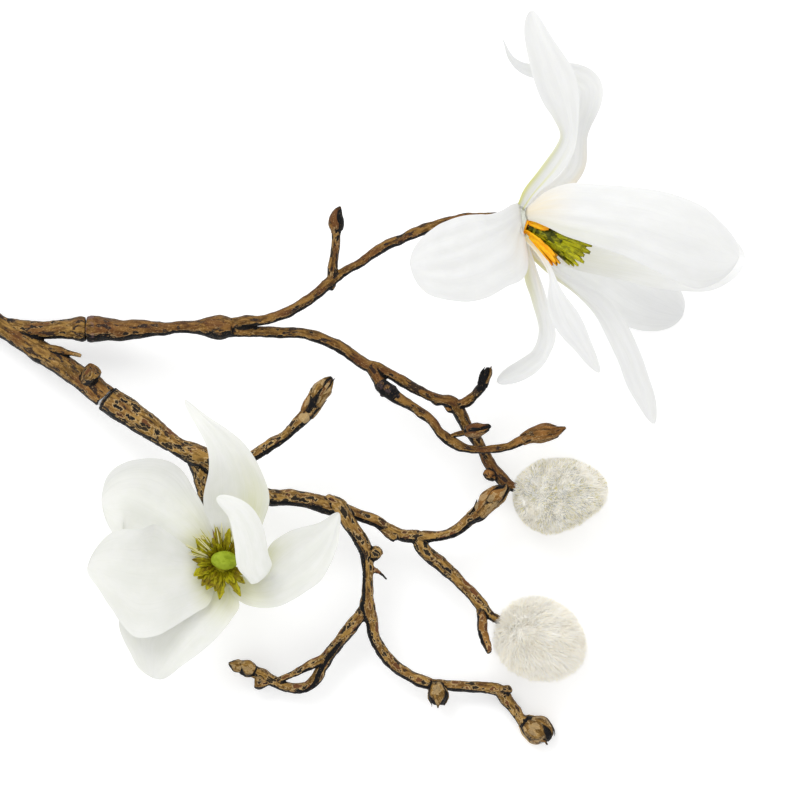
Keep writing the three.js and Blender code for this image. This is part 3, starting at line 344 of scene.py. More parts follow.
UPPER_TEPALS = [
    {
        "spine": [(87.8, 57.2, 57.1), (86.3, 57, 59.5), (80, 51, 61), (71, 46, 61.7),
                  (60.5, 42.5, 59), (47.9, 41.3, 53)],
        "left": [4, 8.7, 16.2, 16, 16.6, 15.9, 13.9, 12.7, 11.5],
        "right": [6, 8, 10.7, 13.1, 14.2, 14.3, 14, 13.1, 11.8],
        "face": [(1, 0.2, 0.5), (0, 0, 1), (0, 0, 1), (0, 0, 1)],
        "cup": -0.06, "ribs": (5, 0.22), "waves": (2.5, 0.5, 0.1), "white": 0.935,
        "tints": [("gold", -0.5, 0.5, 0, 0.35, 0.16), ("grey", 0.15, 0.25, 0.1, 0.6, 0.1)],
    },
    {
        "spine": [(87.8, 61.7, 53.6), (91.8, 67.4, 56), (100, 77.7, 59.5), (104.6, 86.9, 62),
                  (103.5, 96.2, 63.2), (100, 106.9, 63.5), (95.7, 119.8, 62), (91.5, 132.5, 59)],
        "left": [2, 3.3, 3.5, 3.7, 3.4, 3.4, 5, 7, 7.6, 7.5, 7.3, 7.2, 6.5],
        "right": [2, 1.5, 2.3, 3.2, 3.5, 2.9, 4.5, 6.5, 7.4, 6.2, 4.6, 3.6, 3.3],
        "cup": 0.3, "crease": 0.2, "ribs": (2, 0.12), "waves": (2, 0.3, 0.2), "white": 0.93,
        "tints": [("green", -0.95, 0.35, 0, 0.62, 0.95), ("green", 0.25, 0.18, 0.02, 0.4, 0.75)],
    },
    {
        "spine": [(86.2, 61.7, 49.1), (98.5, 68, 47), (107.5, 77, 45.5), (109, 89, 44),
                  (112.2, 101, 41), (110.5, 107.5, 39), (101, 111, 37), (90.5, 112, 35),
                  (84.5, 116, 33), (81.2, 123.3, 31)],
        "left": [2, 3, 4, 4, 3, 0.7],
        "right": [2, 3.5, 2.8, 5.2, 3.2, 0.7],
        "cup": 0.2, "ribs": (2, 0.1), "waves": (2, 0.4, 0.6), "white": 0.95,
        "tints": [("gold", 0.8, 0.4, 0.2, 0.45, 0.25), ("grey", 0, 9, 0.84, 0.66, 0.5)],
    },
    {
        "spine": [(89.1, 59.9, 56.8), (96.1, 60.1, 62.4), (109.1, 58.9, 71), (125.4, 55.9, 78),
                  (143.8, 50.2, 82), (164.6, 43.5, 80)],
        "left": [2.2, 8.1, 11.1, 11.8, 12.4, 13.3, 14.5, 14.9, 14.7, 12.8, 12.1],
        "right": [2.2, 4.7, 7.7, 9.2, 10.5, 11.4, 12.7, 14.1, 16.4, 18.9, 18],
        "face": [(-0.3, 0, 1)],
        "cup": -0.25, "ribs": (4, 0.15), "waves": (2, 0.4, 0.4), "white": 0.94,
        "tints": [("gold", -0.3, 0.8, 0, 0.3, 0.4), ("green", 0.7, 0.35, 0.15, 0.6, 0.15)],
    },
    {
        "spine": [(88.7, 58.9, 47.7), (96.3, 54.3, 44), (108.9, 49.7, 39), (124.8, 46.9, 36),
                  (144.9, 44.4, 37), (168.3, 43.9, 42)],
        "left": [2.2, 10.1, 14, 15.9, 16.5, 16.5, 16.1, 14.3, 12.8],
        "right": [2.2, 7.2, 9.4, 10, 10.6, 11.7, 12.6, 13.8, 12.4],
        "cup": 0.3, "ribs": (3, 0.12), "waves": (2, 0.4, 0.2), "white": 1.12,
        "tints": [("green", 0.5, 0.6, 0.1, 0.85, 0.25)],
    },
    {
        "spine": [(85.2, 54.1, 48.1), (93.5, 49.4, 41.5), (106, 45, 31), (120, 38, 17),
                  (134, 30, 4.2), (147, 24.5, 0.4)],
        "left": [2, 4.5, 7, 11, 13.5, 13],
        "right": [2, 6, 9, 11.8, 13.5, 13],
        "cup": 0.1, "ribs": (3, 0.12), "waves": (1.5, 0.3, 0.3), "white": 1.03,
        "tints": [("green", 0, 1, 0, 0.3, 0.35), ("grey", 0.3, 0.8, 1, 0.6, 0.2)],
    },
    {
        "spine": [(87.6, 51.4, 48.5), (96.3, 42.2, 42), (107.2, 33.2, 35.2), (117.7, 24.7, 29.5),
                  (126.1, 9.9, 24), (131.3, -2.3, 17), (136.2, -15.2, 9)],
        "left": [2, 2.1, 2.1, 3.7, 4.4, 4.9, 4.7, 4.4, 4.5, 3.6],
        "right": [2, 2, 1.8, 1.4, 3, 3.9, 4.2, 4.9, 4.1, 3.3],
        "cup": 0.3, "crease": 0.2, "ribs": (2, 0.1), "waves": (2, 0.2, 0.1), "white": 1.03,
        "tints": [("green", 0.8, 0.5, 0, 0.5, 0.8), ("green", -0.2, 0.4, 0, 0.3, 0.35)],
    },
    {
        "spine": [(88.6, 52.4, 54.4), (92.9, 47.7, 54), (97.6, 41.3, 56), (100.1, 32, 57),
                  (103.7, 22.7, 55), (109.8, 12.7, 51), (115.8, 3.2, 46)],
        "left": [1.5, 1.1, 0.6, 1.2, 2.7, 4.6, 4.6, 3.6, 2.9, 2.3],
        "right": [1.5, 1, 1.4, 1.5, 4.1, 5.2, 4.7, 3.6, 3.1, 2.5],
        "cup": 0.3, "crease": 0.2, "ribs": (2, 0.1), "waves": (2, 0.2, 0.5), "white": 1,
        "tints": [("green", -0.3, 1.2, 0, 0.34, 0.5), ("gold", 0.4, 0.5, 0.05, 0.3, 0.4)],
    },
    {
        "spine": [(87.6, 52.8, 51.2), (91.9, 40.6, 49), (94.8, 28.5, 46), (97, 18.5, 42),
                  (95.3, 9.5, 37), (88.9, 3.8, 32), (79.6, -0.5, 26)],
        "left": [1.5, 1.2, 1.4, 2.3, 2.2, 3.2, 2.4, 3.1, 3.2, 2.9],
        "right": [1.5, 1.6, 3.9, 3.3, 3, 3.2, 4.1, 4.6, 5, 4.5],
        "cup": 0.4, "crease": 0.2, "ribs": (2, 0.1), "waves": (2, 0.2, 0.8), "white": 1.02,
        "tints": [("green", 0.85, 0.5, 0, 0.62, 0.75), ("gold", -0.4, 0.4, 0.1, 0.45, 0.3),
                  ("grey", 0.2, 9, 0.95, 0.62, 0.22)],
    },
]

# The blooms' middles stand on their bases. A crown is straps round a collar: each one's turn
# (degrees from the way that faces the front), length, width, spread from the axis (degrees) and
# how brown it is (below 0 it is pale). Filaments are drawn between two turns, lengths and
# spreads.
LOWER_MIDDLE = {"place": (-19.5, -65.2, 33.1), "axis": (0, 0.12, 1)}
UPPER_MIDDLE = {"place": (89.2, 56, 53.1), "axis": (0.905, -0.4, 0.12)}
LOWER_STAMENS = {
    "rise": 0, "collar": 3.9, "collar_height": 1.4, "root": 3.2,
    "straps": [
        (231, 10.3, 5.4, 52, 0.35), (219, 9.5, 4, 56, 0.1), (191, 10.7, 3, 48, 0.4),
        (203, 7.5, 2.6, 40, 0.6), (167, 10.3, 3.2, 47, 0.15), (180, 5.1, 2.2, 42, 1),
        (254, 9.5, 3.4, 54, 0.3), (243, 7.9, 2.6, 60, 0.6), (268, 8.7, 2.8, 50, 0.7),
        (279, 7.1, 2.4, 46, 0.4), (294, 9.5, 4.8, 50, 0.15), (305, 8.3, 4, 54, 0.6),
        (318, 9.5, 4, 50, 0.85), (331, 9.9, 4.6, 48, 0.6), (346, 9.5, 3.6, 46, 0.4),
        (358, 11.9, 3.6, 52, 0.25), (14, 6.3, 2.4, 44, 0.1), (27, 7.5, 2.4, 40, 0),
        (27, 12.2, 3.4, 53, 0.3), (44, 8.7, 3, 56, 0.5), (146, 10.3, 2.8, 50, 1),
        (130, 7.9, 3, 50, 0.8), (60, 7.1, 3, 50, 0.6), (235, 5.1, 2.6, 30, 0.7),
        (300, 5.1, 2.6, 32, 0.8), (335, 5.1, 2.6, 34, 0.5), (190, 5.1, 2.4, 30, 0.5),
        (265, 4.7, 2.4, 30, 0.6),
    ],
    "filaments": {
        "count": 30, "turns": (148, 262), "length": (9.5, 12.5), "width": 0.4, "spread": (42, 56),
    },
}
UPPER_STAMENS = {
    "rise": 0, "collar": 3.3, "collar_height": 0.9, "root": 2.5,
    "straps": [
        (94, 15.5, 3.2, 25, 0.1), (100, 16.5, 2.8, 21, 0.25), (82, 17, 3.2, 20, 0),
        (70, 17.5, 3.4, 16, 0.05), (88, 15, 3.2, 23, 0), (76, 16, 3, 24, 0.1),
        (62, 16.5, 3.2, 20, 0), (52, 15, 3, 15, 0.1), (40, 9.5, 2.2, 13, 0), (316, 8.4, 3, 9, 0.1),
        (292, 10.5, 3, 11, 0.05), (268, 11, 3, 12, 0.3), (200, 13, 3, 14, 0.3),
        (150, 14, 3, 16, 0.3), (125, 15, 3, 20, 0.3), (235, 12, 3, 14, 0.3),
    ],
}
UPPER_PISTIL = {
    "rise": 3.5, "collar": 2.5, "collar_height": 1, "root": 1.8,
    "straps": [
        (105, 17, 3, 17, 0.45), (88, 18.5, 3, 13, 0.1), (70, 20, 3, 9.5, 0),
        (100, 19.5, 2.8, 11, 0.2), (40, 21.5, 3, 7.5, 0.05), (15, 20.5, 3, 5, 0.1),
        (345, 22, 3, 4, 0.15), (310, 21.5, 2.8, 3, 0.3), (275, 20, 2.8, 6, 0.4),
        (235, 19, 2.8, 6, 0.5), (190, 19, 2.8, 8, 0.5), (150, 19, 2.8, 10, 0.5),
        (62, 14, 3, 12, 0.75), (20, 8.5, 3.6, 6, 1.3), (335, 8.5, 3.6, 4, 1.3), (355, 11, 3, 6, 1),
        (300, 8, 3.6, 4, 1.3), (50, 8.5, 3.2, 7, 1.3), (5, 7.5, 4, 5, 1.3), (75, 15, 2, 13, 1.2),
    ],
}
# The upper pistil's dark core and the lower pistil's knob are turned: radius and height.
UPPER_CORE = [(0, 1.5), (1.9, 1.5), (1.9, 5), (3, 10), (0, 10)]
LOWER_PISTIL = [
    (0, -1), (1.8, -1), (2.8, 0.6), (3.3, 2.6), (3.4, 4.2), (3, 6), (2.3, 7.4), (1.3, 8.4),
    (0, 8.8),
]
LOWER_KNOB = {"place": (-15.6, -64.6, 36.2), "axis": (-1, 0.1, 0.5)}

# A fuzzy bud: its middle, the way its tip points, half length, half width, taper and lumps; how
# far its hairs lie down towards the tip and swirl, their length and how deep the pile is (as
# shares of the settings' hair length), how bright it is and how strong its specks are.
FUZZY_BUDS = [
    {"place": (102.3, -40.7, 15.5), "axis": (1, 0.16, 0), "long": 18, "wide": 14.1,
     "taper": 0.2, "lumps": 0.5, "lean": 0.35, "swirl": 2.6, "length": 0.7, "pile": 0.6,
     "bright": 1.01, "specks": 0.75},
    {"place": (95, -93.3, 16.5), "axis": (0.85, -0.45, 0), "long": 17, "wide": 15.2,
     "taper": 0.08, "lumps": 0.35, "lean": 0.9, "swirl": 2.2, "length": 1.15, "pile": 0.6,
     "bright": 1.03, "specks": 0.2},
]

# How finely the pieces are made.
PATH_STEPS = 24  # steps between two stations of a curve
STEEP = 0.95  # a curve that starts steeper than this takes its sides from the X axis
RING_STEP = 0.5  # between two rings of a limb
LIMB_SIDES = 40
MIN_RADIUS = 0.45
SCALE_ROWS = 26
SCALE_COLUMNS = 17
TEPAL_ROWS = 84
TEPAL_COLUMNS = 34
SPINE_STEP = 0.25
RIM_START = 0.965  # where the even columns of a tepal end
NEAR_RIM = (0.988, 0.997)  # extra columns, so that the rim is rounded over a hair's breadth
TIP_CROWDING = 1.5  # how much closer the rows lie at a tepal's tip
TIP_ROUNDNESS = 8
TIP_END = 0.9996
TURNED_SIDES = 48
TURNED_STEP = 0.35  # between two rings of a turned body

# How bark is read and marked.
SAMPLE_EVERY = 2  # rings between the places where the bark's grain is read
GRAIN_SHIFT = 61.0  # the grain of each limb starts somewhere else
POINTS_AT_ONCE = 4000
CREVICE_ROUNDS = 10
PAINT_FADE = 0.5  # paint fades in and out over twice this length
BAND_FADE = 5


def unit(vectors):
    """The same vectors at length 1."""
    vectors = np.asarray(vectors, float)
    return vectors / np.linalg.norm(vectors, axis=-1, keepdims=True)


def smooth_step(low, high, value):
    """0 below the low value, 1 above the high one, and smooth between them."""
    share = np.clip((value - low) / (high - low), 0, 1)
    return share * share * (3 - 2 * share)


# ---- curves and meshes


def smooth_path(stations, spacing):
    """How far along a curve through the stations its evenly spaced points lie, and the points."""
    control = np.array(stations, float)
    padded = np.vstack([2 * control[0] - control[1], control, 2 * control[-1] - control[-2]])
    t = np.linspace(0, 1, PATH_STEPS, endpoint=False)[:, None]
    spans = []
    for before, start, end, after in zip(padded, padded[1:], padded[2:], padded[3:]):
        leaving, arriving = (end - before) / 2, (after - start) / 2
        cubic = 2 * start - 2 * end + leaving + arriving
        square = 3 * end - 3 * start - 2 * leaving - arriving
        spans.append(start + leaving * t + square * t**2 + cubic * t**3)
    fine = np.vstack([*spans, control[-1:]])
    walked = np.concatenate([[0], np.cumsum(np.linalg.norm(np.diff(fine[:, :3], axis=0), axis=1))])
    along = np.linspace(0, walked[-1], max(2, round(walked[-1] / spacing)) + 1)
    return along, values_at(along, walked, fine)


def values_at(places, walked, values):
    """Rows of values that are given along a curve, at other places along it."""
    return np.column_stack([np.interp(places, walked, column) for column in values.T])


def frames_along(points):
    """Tangents, sides and ups along a curve, which turn as little as possible."""
    tangent = unit(np.gradient(points, axis=0))
    upright = (1, 0, 0) if abs(tangent[0][2]) > STEEP else (0, 0, 1)
    side = np.empty_like(tangent)
    side[0] = unit(np.cross(tangent[0], upright))
    for i in range(1, len(points)):
        side[i] = unit(side[i - 1] - tangent[i] * (side[i - 1] @ tangent[i]))
    return tangent, side, np.cross(side, tangent)


def mesh_of(name, points, faces):
    """A smooth-shaded mesh from points in millimetres."""
    mesh = bpy.data.meshes.new(name)
    points = (np.asarray(points) * MM).tolist()
    mesh.from_pydata(points, [], [list(map(int, face)) for face in faces])
    mesh.shade_smooth()
    mesh.update()
    return mesh


def placed(name, mesh):
    """A new object in the scene that holds the mesh."""
    made = bpy.data.objects.new(name, mesh)
    bpy.context.scene.collection.objects.link(made)
    return made


def plain_mesh(made, name):
    """The mesh that an object's modifiers make, in place of the object."""
    bpy.context.view_layer.update()
    graph = bpy.context.evaluated_depsgraph_get()
    mesh = bpy.data.meshes.new_from_object(made.evaluated_get(graph), depsgraph=graph)
    mesh.name = name
    rough = made.data
    bpy.data.objects.remove(made)
    bpy.data.meshes.remove(rough)
    return mesh


def grid_faces(rows, columns, closed=False):
    """Quads between the rows of a grid of points, wound so that row by column looks out."""
    across = columns if closed else columns - 1
    r, c = np.meshgrid(np.arange(rows - 1), np.arange(across), indexing="ij")
    following = (c + 1) % columns
    start, end = r * columns, (r + 1) * columns
    corners = [start + c, start + following, end + following, end + c]
    return np.stack([corner.ravel() for corner in corners], axis=1)


def store(mesh, name, values, kind="FLOAT"):
    """Keeps a value or a vector for each point of a mesh."""
    attribute = mesh.attributes.new(name, kind, "POINT")
    attribute.data.foreach_set("vector" if kind == "FLOAT_VECTOR" else "value", np.ravel(values))


def read(items, field, width=3):
    """A field of all the points, edges, faces or corners of a mesh, as an array."""
    values = np.empty(len(items) * width)
    items.foreach_get(field, values)
    return values.reshape(-1, width)


def finish_piece(piece, slot, *nodes, material=None):
    """Fixes a finished piece to the body, in place of the solids that it stands for."""
    if material:
        piece.data.materials.clear()
        piece.data.materials.append(material)
    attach(piece, BODY)
    if nodes:
        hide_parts(*nodes)
    return piece


# ---- wood


def joint_stations(joint, way, reaches):
    """Stations at a sleeve joint, before it (-1) or after it (1), from reaches and radii."""
    along = unit(joint["axis"])
    stations = []
    for reach, radius in reaches:
        point = np.array(joint["place"]) + along * way * (joint["gap"] / 2 + reach)
        stations.append((*point, radius))
    return stations[::-1] if way < 0 else stations


JOINED_LIMBS = {
    "trunk": TRUNK + joint_stations(LOWER_JOINT, -1, [(0, 4.3), (8, 4.2)]),
    "fork": TRUNK_FORK + joint_stations(
        UPPER_JOINT, -1, [(0, 4.2), (1.4, 4.7), (3.2, 4.4), (5.6, 3.7), (9, 3.5)]),
    "upper_stem": joint_stations(
        UPPER_JOINT, 1, [(0, 4.5), (1.6, 5), (4, 4.8), (8, 4.1)]) + UPPER_STEM,
    "lower_stem": joint_stations(LOWER_JOINT, 1, [(0, 4.7), (3, 4.9)]) + LOWER_STEM,
}

SCALE_THICKNESS = 0.45
SCALE_BULGE = 0.25  # how much further off the bud a scale's middle stands than its edges
SPIKE_WIDTH = 0.32
SPIKE_TONE = 0.4  # how black a spike is


def scale_blade(line, length, scale):
    """One scale wrapped round the bud at a limb's end, as a closed blade, with the painted shade
    along its rim.
    """
    roll, start, end, reach_round, lift, _ = scale
    u = np.linspace(0, 1, SCALE_ROWS)
    a = np.linspace(-1, 1, SCALE_COLUMNS)
    share = start + (end - start) * u
    place = np.clip(line["along"][-1] - length * (1 - share), 0, None)
    columns = np.column_stack([line["points"], line["tangent"], line["radius"]])
    middle = values_at(place, line["along"], columns)
    points, tangent, radius = middle[:, :3], unit(middle[:, 3:6]), middle[:, 6]
    points = points + tangent * np.maximum(0, share - 1)[:, None] * length
    up = unit(np.array((0, 0, 1.0)) - tangent * tangent[:, 2:])
    right = np.cross(tangent, up)
    taper = (0.72 + 0.28 * np.sin(math.pi * np.minimum(1, u * 1.4))) * (1 - u**2.6) + 0.02
    angle = math.radians(roll) + a[None] * math.radians(reach_round) * taper[:, None]
    outward = np.cos(angle)[..., None] * up[:, None] + np.sin(angle)[..., None] * right[:, None]
    stand_off = (np.maximum(radius * 0.92, 0.5) + lift * u**1.5)[:, None]
    stand_off = stand_off + SCALE_BULGE * (1 - a[None] ** 2)
    grid = points[:, None] + outward * stand_off[..., None]
    rounding = np.sqrt(np.maximum(0, 1 - a[None] ** 6)) * np.sqrt(1 - u[:, None] ** 4)
    blade, faces, order = shell(grid[:, ::-1], SCALE_THICKNESS * rounding)
    sides, tip = smooth_step(0.6, 0.85, np.abs(a)), smooth_step(0.78, 0.94, u) * 0.8
    return blade, faces, np.maximum(sides[None], tip[:, None]).ravel()[order]


def spikes(line, count, seed):
    """Small stiff hairs round a limb's end."""
    draw = random.Random(seed)
    faces = [[0, 1, 3], [1, 2, 3], [2, 0, 3], [2, 1, 0]]
    parts = []
    for _ in range(count):
        i = len(line["along"]) - 1 - draw.randrange(8)
        turn = draw.uniform(0, 2 * math.pi)
        outward = math.cos(turn) * line["side"][i] + math.sin(turn) * line["up"][i]
        root = line["points"][i] + outward * line["radius"][i] * 0.8
        way = unit(outward * draw.uniform(0.5, 1) + line["tangent"][i])
        tip = root + way * draw.uniform(1.4, 2.6)
        across = unit(np.cross(outward, line["tangent"][i])) * SPIKE_WIDTH / 2
        corners = [root + across, root - across + outward * 0.1, root - outward * 0.2, tip]
        parts.append((np.array(corners), faces, np.full(4, SPIKE_TONE)))
    return parts


# What is painted on a limb: pale wood, black that is partly painted shade (burnt), rust
# red, amber or a painted purple-grey sheen, and how strong a paint is on a scale or a spike.
PAINTS = ("pale", "burnt", "rusty", "amber", "sheen")
SCALE_PAINT = {"pale": 0.6, "burnt": 0.75, "rusty": 0.7, "amber": 0.85}


def limb_marks(limb, along, tangent):
    """How strong each paint is along a limb, the way its band looks and how wide it is."""
    marks = {paint: np.zeros(len(along)) for paint in PAINTS}
    for paint, start, end, strength in limb.get("paint", ()):
        here = along - along[-1] if start < 0 else along
        past_end = smooth_step(end - PAINT_FADE, end + PAINT_FADE, here) if end else 0
        near = smooth_step(start - PAINT_FADE, start + PAINT_FADE, here) * (1 - past_end)
        marks[paint] = np.maximum(marks[paint], strength * near)
    facing, half_width, start, end = limb.get("band", ((0, 0, 1), 0, 0, 0))
    marks["band"] = unit(facing - tangent * (tangent @ np.array(facing, float))[:, None])
    inside = smooth_step(start, start + BAND_FADE, along)
    inside = inside * (1 - smooth_step(end - BAND_FADE, end, along))
    marks["band_edge"] = np.cos(np.radians(half_width * inside)) + (inside == 0)
    return marks


def limb_rings(limb):
    """The rings of points round a limb, and its middle line with radius, directions and marks."""
    stations = limb["path"]
    if isinstance(stations, str):
        stations = JOINED_LIMBS[stations]
    along, path = smooth_path(stations, RING_STEP)
    points, radius = path[:, :3], np.maximum(path[:, 3], MIN_RADIUS)
    tangent, side, up = frames_along(points)
    angle = (np.arange(LIMB_SIDES) * 2 * math.pi / LIMB_SIDES)[None, :, None]
    outward = np.cos(angle) * side[:, None] + np.sin(angle) * up[:, None]
    rings = points[:, None] + outward * radius[:, None, None]
    if "slant" in limb:
        facing, shift, fade = limb["slant"]
        near_end = smooth_step(along[-1] - fade, along[-1], along)[:, None]
        leaning = smooth_step(-0.9, 0.15, outward @ unit(facing))
        rings += tangent[:, None] * (shift * near_end * leaning)[..., None]
    line = {"points": points, "radius": radius, "tangent": tangent, "side": side, "up": up}
    return rings, line | {"along": along} | limb_marks(limb, along, tangent)


def tube(rings):
    """A closed mesh from rings of points."""
    count, sides = rings.shape[:2]
    points = np.vstack([rings.reshape(-1, 3), rings[0].mean(0), rings[-1].mean(0)])
    faces = grid_faces(count, sides, closed=True)[:, ::-1].tolist()
    k = np.arange(sides)
    following = (k + 1) % sides
    last, pole = (count - 1) * sides, np.full(sides, count * sides)
    faces += np.stack([pole, k, following], axis=1).tolist()
    faces += np.stack([pole + 1, last + following, last + k], axis=1).tolist()
    return points, faces


def joined(parts):
    """One list of points and one of faces from several."""
    points, faces, start = [], [], 0
    for part_points, part_faces in parts:
        points.append(part_points)
        faces += [[corner + start for corner in face] for face in part_faces]
        start += len(part_points)
    return np.vstack(points), faces


def nearest(points, centres, radii):
    """For each point, the middle-line sample whose bark it belongs to."""
    found = np.empty(len(points), int)
    for start in range(0, len(points), POINTS_AT_ONCE):
        here = slice(start, start + POINTS_AT_ONCE)
        part = points[here]
        squared = (part**2).sum(1)[:, None] + (centres**2).sum(1)[None] - 2 * part @ centres.T
        found[here] = np.argmin(np.sqrt(np.maximum(squared, 0)) - radii, axis=1)
    return found


def mark_grain(mesh, lines, coats):
    """Stores the bark's grain (millimetres across, across and along each limb) and its paints."""

    def sampled(key):
        return [line[key][::SAMPLE_EVERY] for line in lines]

    samples = {key: np.vstack(sampled(key)) for key in ("points", "tangent", "side", "up", "band")}
    values = {key: np.concatenate(sampled(key)) for key in ("radius", "band_edge", *PAINTS)}
    along = np.concatenate([part + GRAIN_SHIFT * i for i, part in enumerate(sampled("along"))])
    points = read(mesh.vertices, "co") / MM
    found = nearest(points, samples["points"], values["radius"])
    offset = points - samples["points"][found]
    across = (offset * samples["side"][found]).sum(1)
    height = (offset * samples["up"][found]).sum(1)
    lengthwise = along[found] + (offset * samples["tangent"][found]).sum(1)
    store(mesh, "grain", np.column_stack([across, height, lengthwise]), "FLOAT_VECTOR")
    owner = np.repeat(np.arange(len(coats)), [count for _, count in coats])
    for paint in PAINTS:
        strength = [SCALE_PAINT[paint] if coat == paint else 0 for coat, _ in coats]
        painted = np.array(strength, float)[owner]
        store(mesh, paint, np.where(owner == 0, values[paint][found], painted))
    outward = (unit(offset + 1e-6) * samples["band"][found]).sum(1)
    store(mesh, "band", outward - values["band_edge"][found])


def mark_shade(mesh, dark_way):
    """Stores how hollow (crevice) and how proud (worn) bark is, and where it looks: the marks for
    painted shade in hollows and on the side turned from the light, and for a painted highlight on
    proud places.
    """
    points = read(mesh.vertices, "co") / MM
    normals = read(mesh.vertex_normals, "vector")
    a, b = read(mesh.edges, "vertices", 2).astype(int).T
    count = len(points)
    degree = np.bincount(a, minlength=count) + np.bincount(b, minlength=count)
    smooth = points.copy()
    for _ in range(CREVICE_ROUNDS):
        sums = [np.bincount(a, co[b], count) + np.bincount(b, co[a], count) for co in smooth.T]
        smooth = np.column_stack(sums) / degree[:, None]
    hollow = ((smooth - points) * normals).sum(1)
    # Crevice is where painted shade lies in hollows; worn is where a painted highlight lies on
    # proud places.
    store(mesh, "crevice", smooth_step(-0.02, 0.14, hollow))
    store(mesh, "worn", smooth_step(0.3, 0.6, -hollow))
    # Under and upward say which way each point looks, for the painted shade on the side turned from
    # the light.
    store(mesh, "under", normals @ unit(dark_way))
    store(mesh, "upward", normals[:, 2])


def fused_skin(name, tubes, voxel):
    """The points and faces of the one skin that tubes make together."""
    rough = placed(name, mesh_of(name, *joined(tubes)))
    skin = rough.modifiers.new("skin", "REMESH")
    skin.mode = "VOXEL"
    skin.voxel_size = voxel * MM
    skin.use_smooth_shade = True
    fused = plain_mesh(rough, name)
    points = read(fused.vertices, "co") / MM
    faces = read(fused.polygons, "vertices", 4).astype(int).tolist()
    bpy.data.meshes.remove(fused)
    return points, faces


def wood(name, limbs, settings, look):
    """A length of branching wood: its limbs fused, with scales, spikes and the bark's relief."""
    made = [limb_rings(limb) for limb in limbs]
    lines = [line for _, line in made]
    points, faces = fused_skin(name, [tube(rings) for rings, _ in made], look["voxel"])
    parts = [(points, faces, np.zeros(len(points)))]
    coats = [None]
    for i, (limb, line) in enumerate(zip(limbs, lines)):
        length, scales = limb.get("bud", (0, ()))
        parts += [scale_blade(line, length, scale) for scale in scales]
        parts += spikes(line, limb.get("spikes", 0), i)
        coats += [scale[-1] for scale in scales] + ["rusty"] * limb.get("spikes", 0)
    mesh = mesh_of(name, *joined([part[:2] for part in parts]))
    mark_grain(mesh, lines, [(coat, len(part[0])) for coat, part in zip(coats, parts)])
    # Rim: painted shade along the edges and tips of a bud's scales, and the dark tone of the
    # spikes.
    store(mesh, "rim", np.concatenate([part[2] for part in parts]))
    store(mesh, "blade", np.arange(len(mesh.vertices)) >= len(points))
    piece = placed(name, mesh)
    run_tree(piece, bark_relief(), {
        "Ridge Height": settings.ridge_height * look["ridges"],
        "Lump Height": settings.lump_height,
        "Fleck Depth": look["fleck_depth"] * MM,
        "Fleck Amount": look["flecks"],
        "Fleck Scale": look["fleck_scale"],
        "Material": bark_material(name, settings, look),
    })
    mesh = plain_mesh(piece, name)
    points = read(mesh.vertices, "co")
    points[:, 2] = np.maximum(points[:, 2], 0)
    mesh.vertices.foreach_set("co", points.ravel())
    mesh.update()
    mark_shade(mesh, settings.dark_side)
    mesh.shade_smooth()
    return finish_piece(placed(name, mesh), "bark", name.replace("_bark", ""))


# ---- node trees


def feed(tree, sockets, values):
    """Gives sockets, by name or number, their values or the sockets that they take them from."""
    for key, value in values.items():
        if isinstance(value, bpy.types.NodeSocket):
            tree.links.new(value, sockets[key])
        else:
            sockets[key].default_value = value


def node(tree, kind, inputs=None, **settings):
    """A new node with its settings and inputs."""
    made = tree.nodes.new(kind)
    for key, value in settings.items():
        setattr(made, key, value)
    feed(tree, made.inputs, inputs or {})
    return made


def result(tree, kind, inputs=None, **settings):
    """The first output of a new node."""
    return node(tree, kind, inputs, **settings).outputs[0]


def math_node(tree, operation, *values):
    return result(tree, "ShaderNodeMath", dict(enumerate(values)), operation=operation)


def added(tree, first, second):
    return math_node(tree, "ADD", first, second)


def less(tree, first, second):
    return math_node(tree, "SUBTRACT", first, second)


def times(tree, first, second):
    return math_node(tree, "MULTIPLY", first, second)


def times_plus(tree, first, second, third):
    return math_node(tree, "MULTIPLY_ADD", first, second, third)


def highest(tree, value, *others):
    for other in others:
        value = math_node(tree, "MAXIMUM", value, other)
    return value


def vector_math(tree, operation, *values):
    return result(tree, "ShaderNodeVectorMath", dict(enumerate(values)), operation=operation)


def scaled_vector(tree, vector, factor):
    inputs = {"Vector": vector, "Scale": factor}
    return result(tree, "ShaderNodeVectorMath", inputs, operation="SCALE")


def noise_node(tree, vector, scale, detail=2.0, roughness=0.5):
    inputs = {"Vector": vector, "Scale": scale, "Detail": detail, "Roughness": roughness}
    return result(tree, "ShaderNodeTexNoise", inputs)


def grain_noise(tree, grain, across, along, detail, roughness):
    """Noise that is drawn out along the grain."""
    stretched = vector_math(tree, "MULTIPLY", grain, (across, across, along))
    return noise_node(tree, stretched, 1.0, detail, roughness)


def eddies(tree, place, scale, strength):
    """A random vector that changes smoothly from place to place."""
    inputs = {"Vector": place, "Scale": scale, "Detail": 2.0}
    drawn = node(tree, "ShaderNodeTexNoise", inputs).outputs[1]
    return scaled_vector(tree, vector_math(tree, "SUBTRACT", drawn, (0.5, 0.5, 0.5)), strength)


def random_number(tree, low, high, seed):
    inputs = {2: low, 3: high, "Seed": seed}
    return node(tree, "FunctionNodeRandomValue", inputs, data_type="FLOAT").outputs[1]


def stored_vector(tree, name):
    """A vector that store() has kept for each point."""
    inputs = {"Name": name}
    return result(tree, "GeometryNodeInputNamedAttribute", inputs, data_type="FLOAT_VECTOR")


def ramp(tree, value, low, high, to_low=0.0, to_high=1.0):
    """A smooth step from one value to another."""
    inputs = {0: value, 1: low, 2: high, 3: to_low, 4: to_high}
    return result(tree, "ShaderNodeMapRange", inputs, interpolation_type="SMOOTHSTEP")


def mix_colours(tree, factor, first, second, blend="MIX"):
    inputs = {0: factor, 6: first, 7: second}
    return node(tree, "ShaderNodeMix", inputs, data_type="RGBA", blend_type=blend).outputs[2]


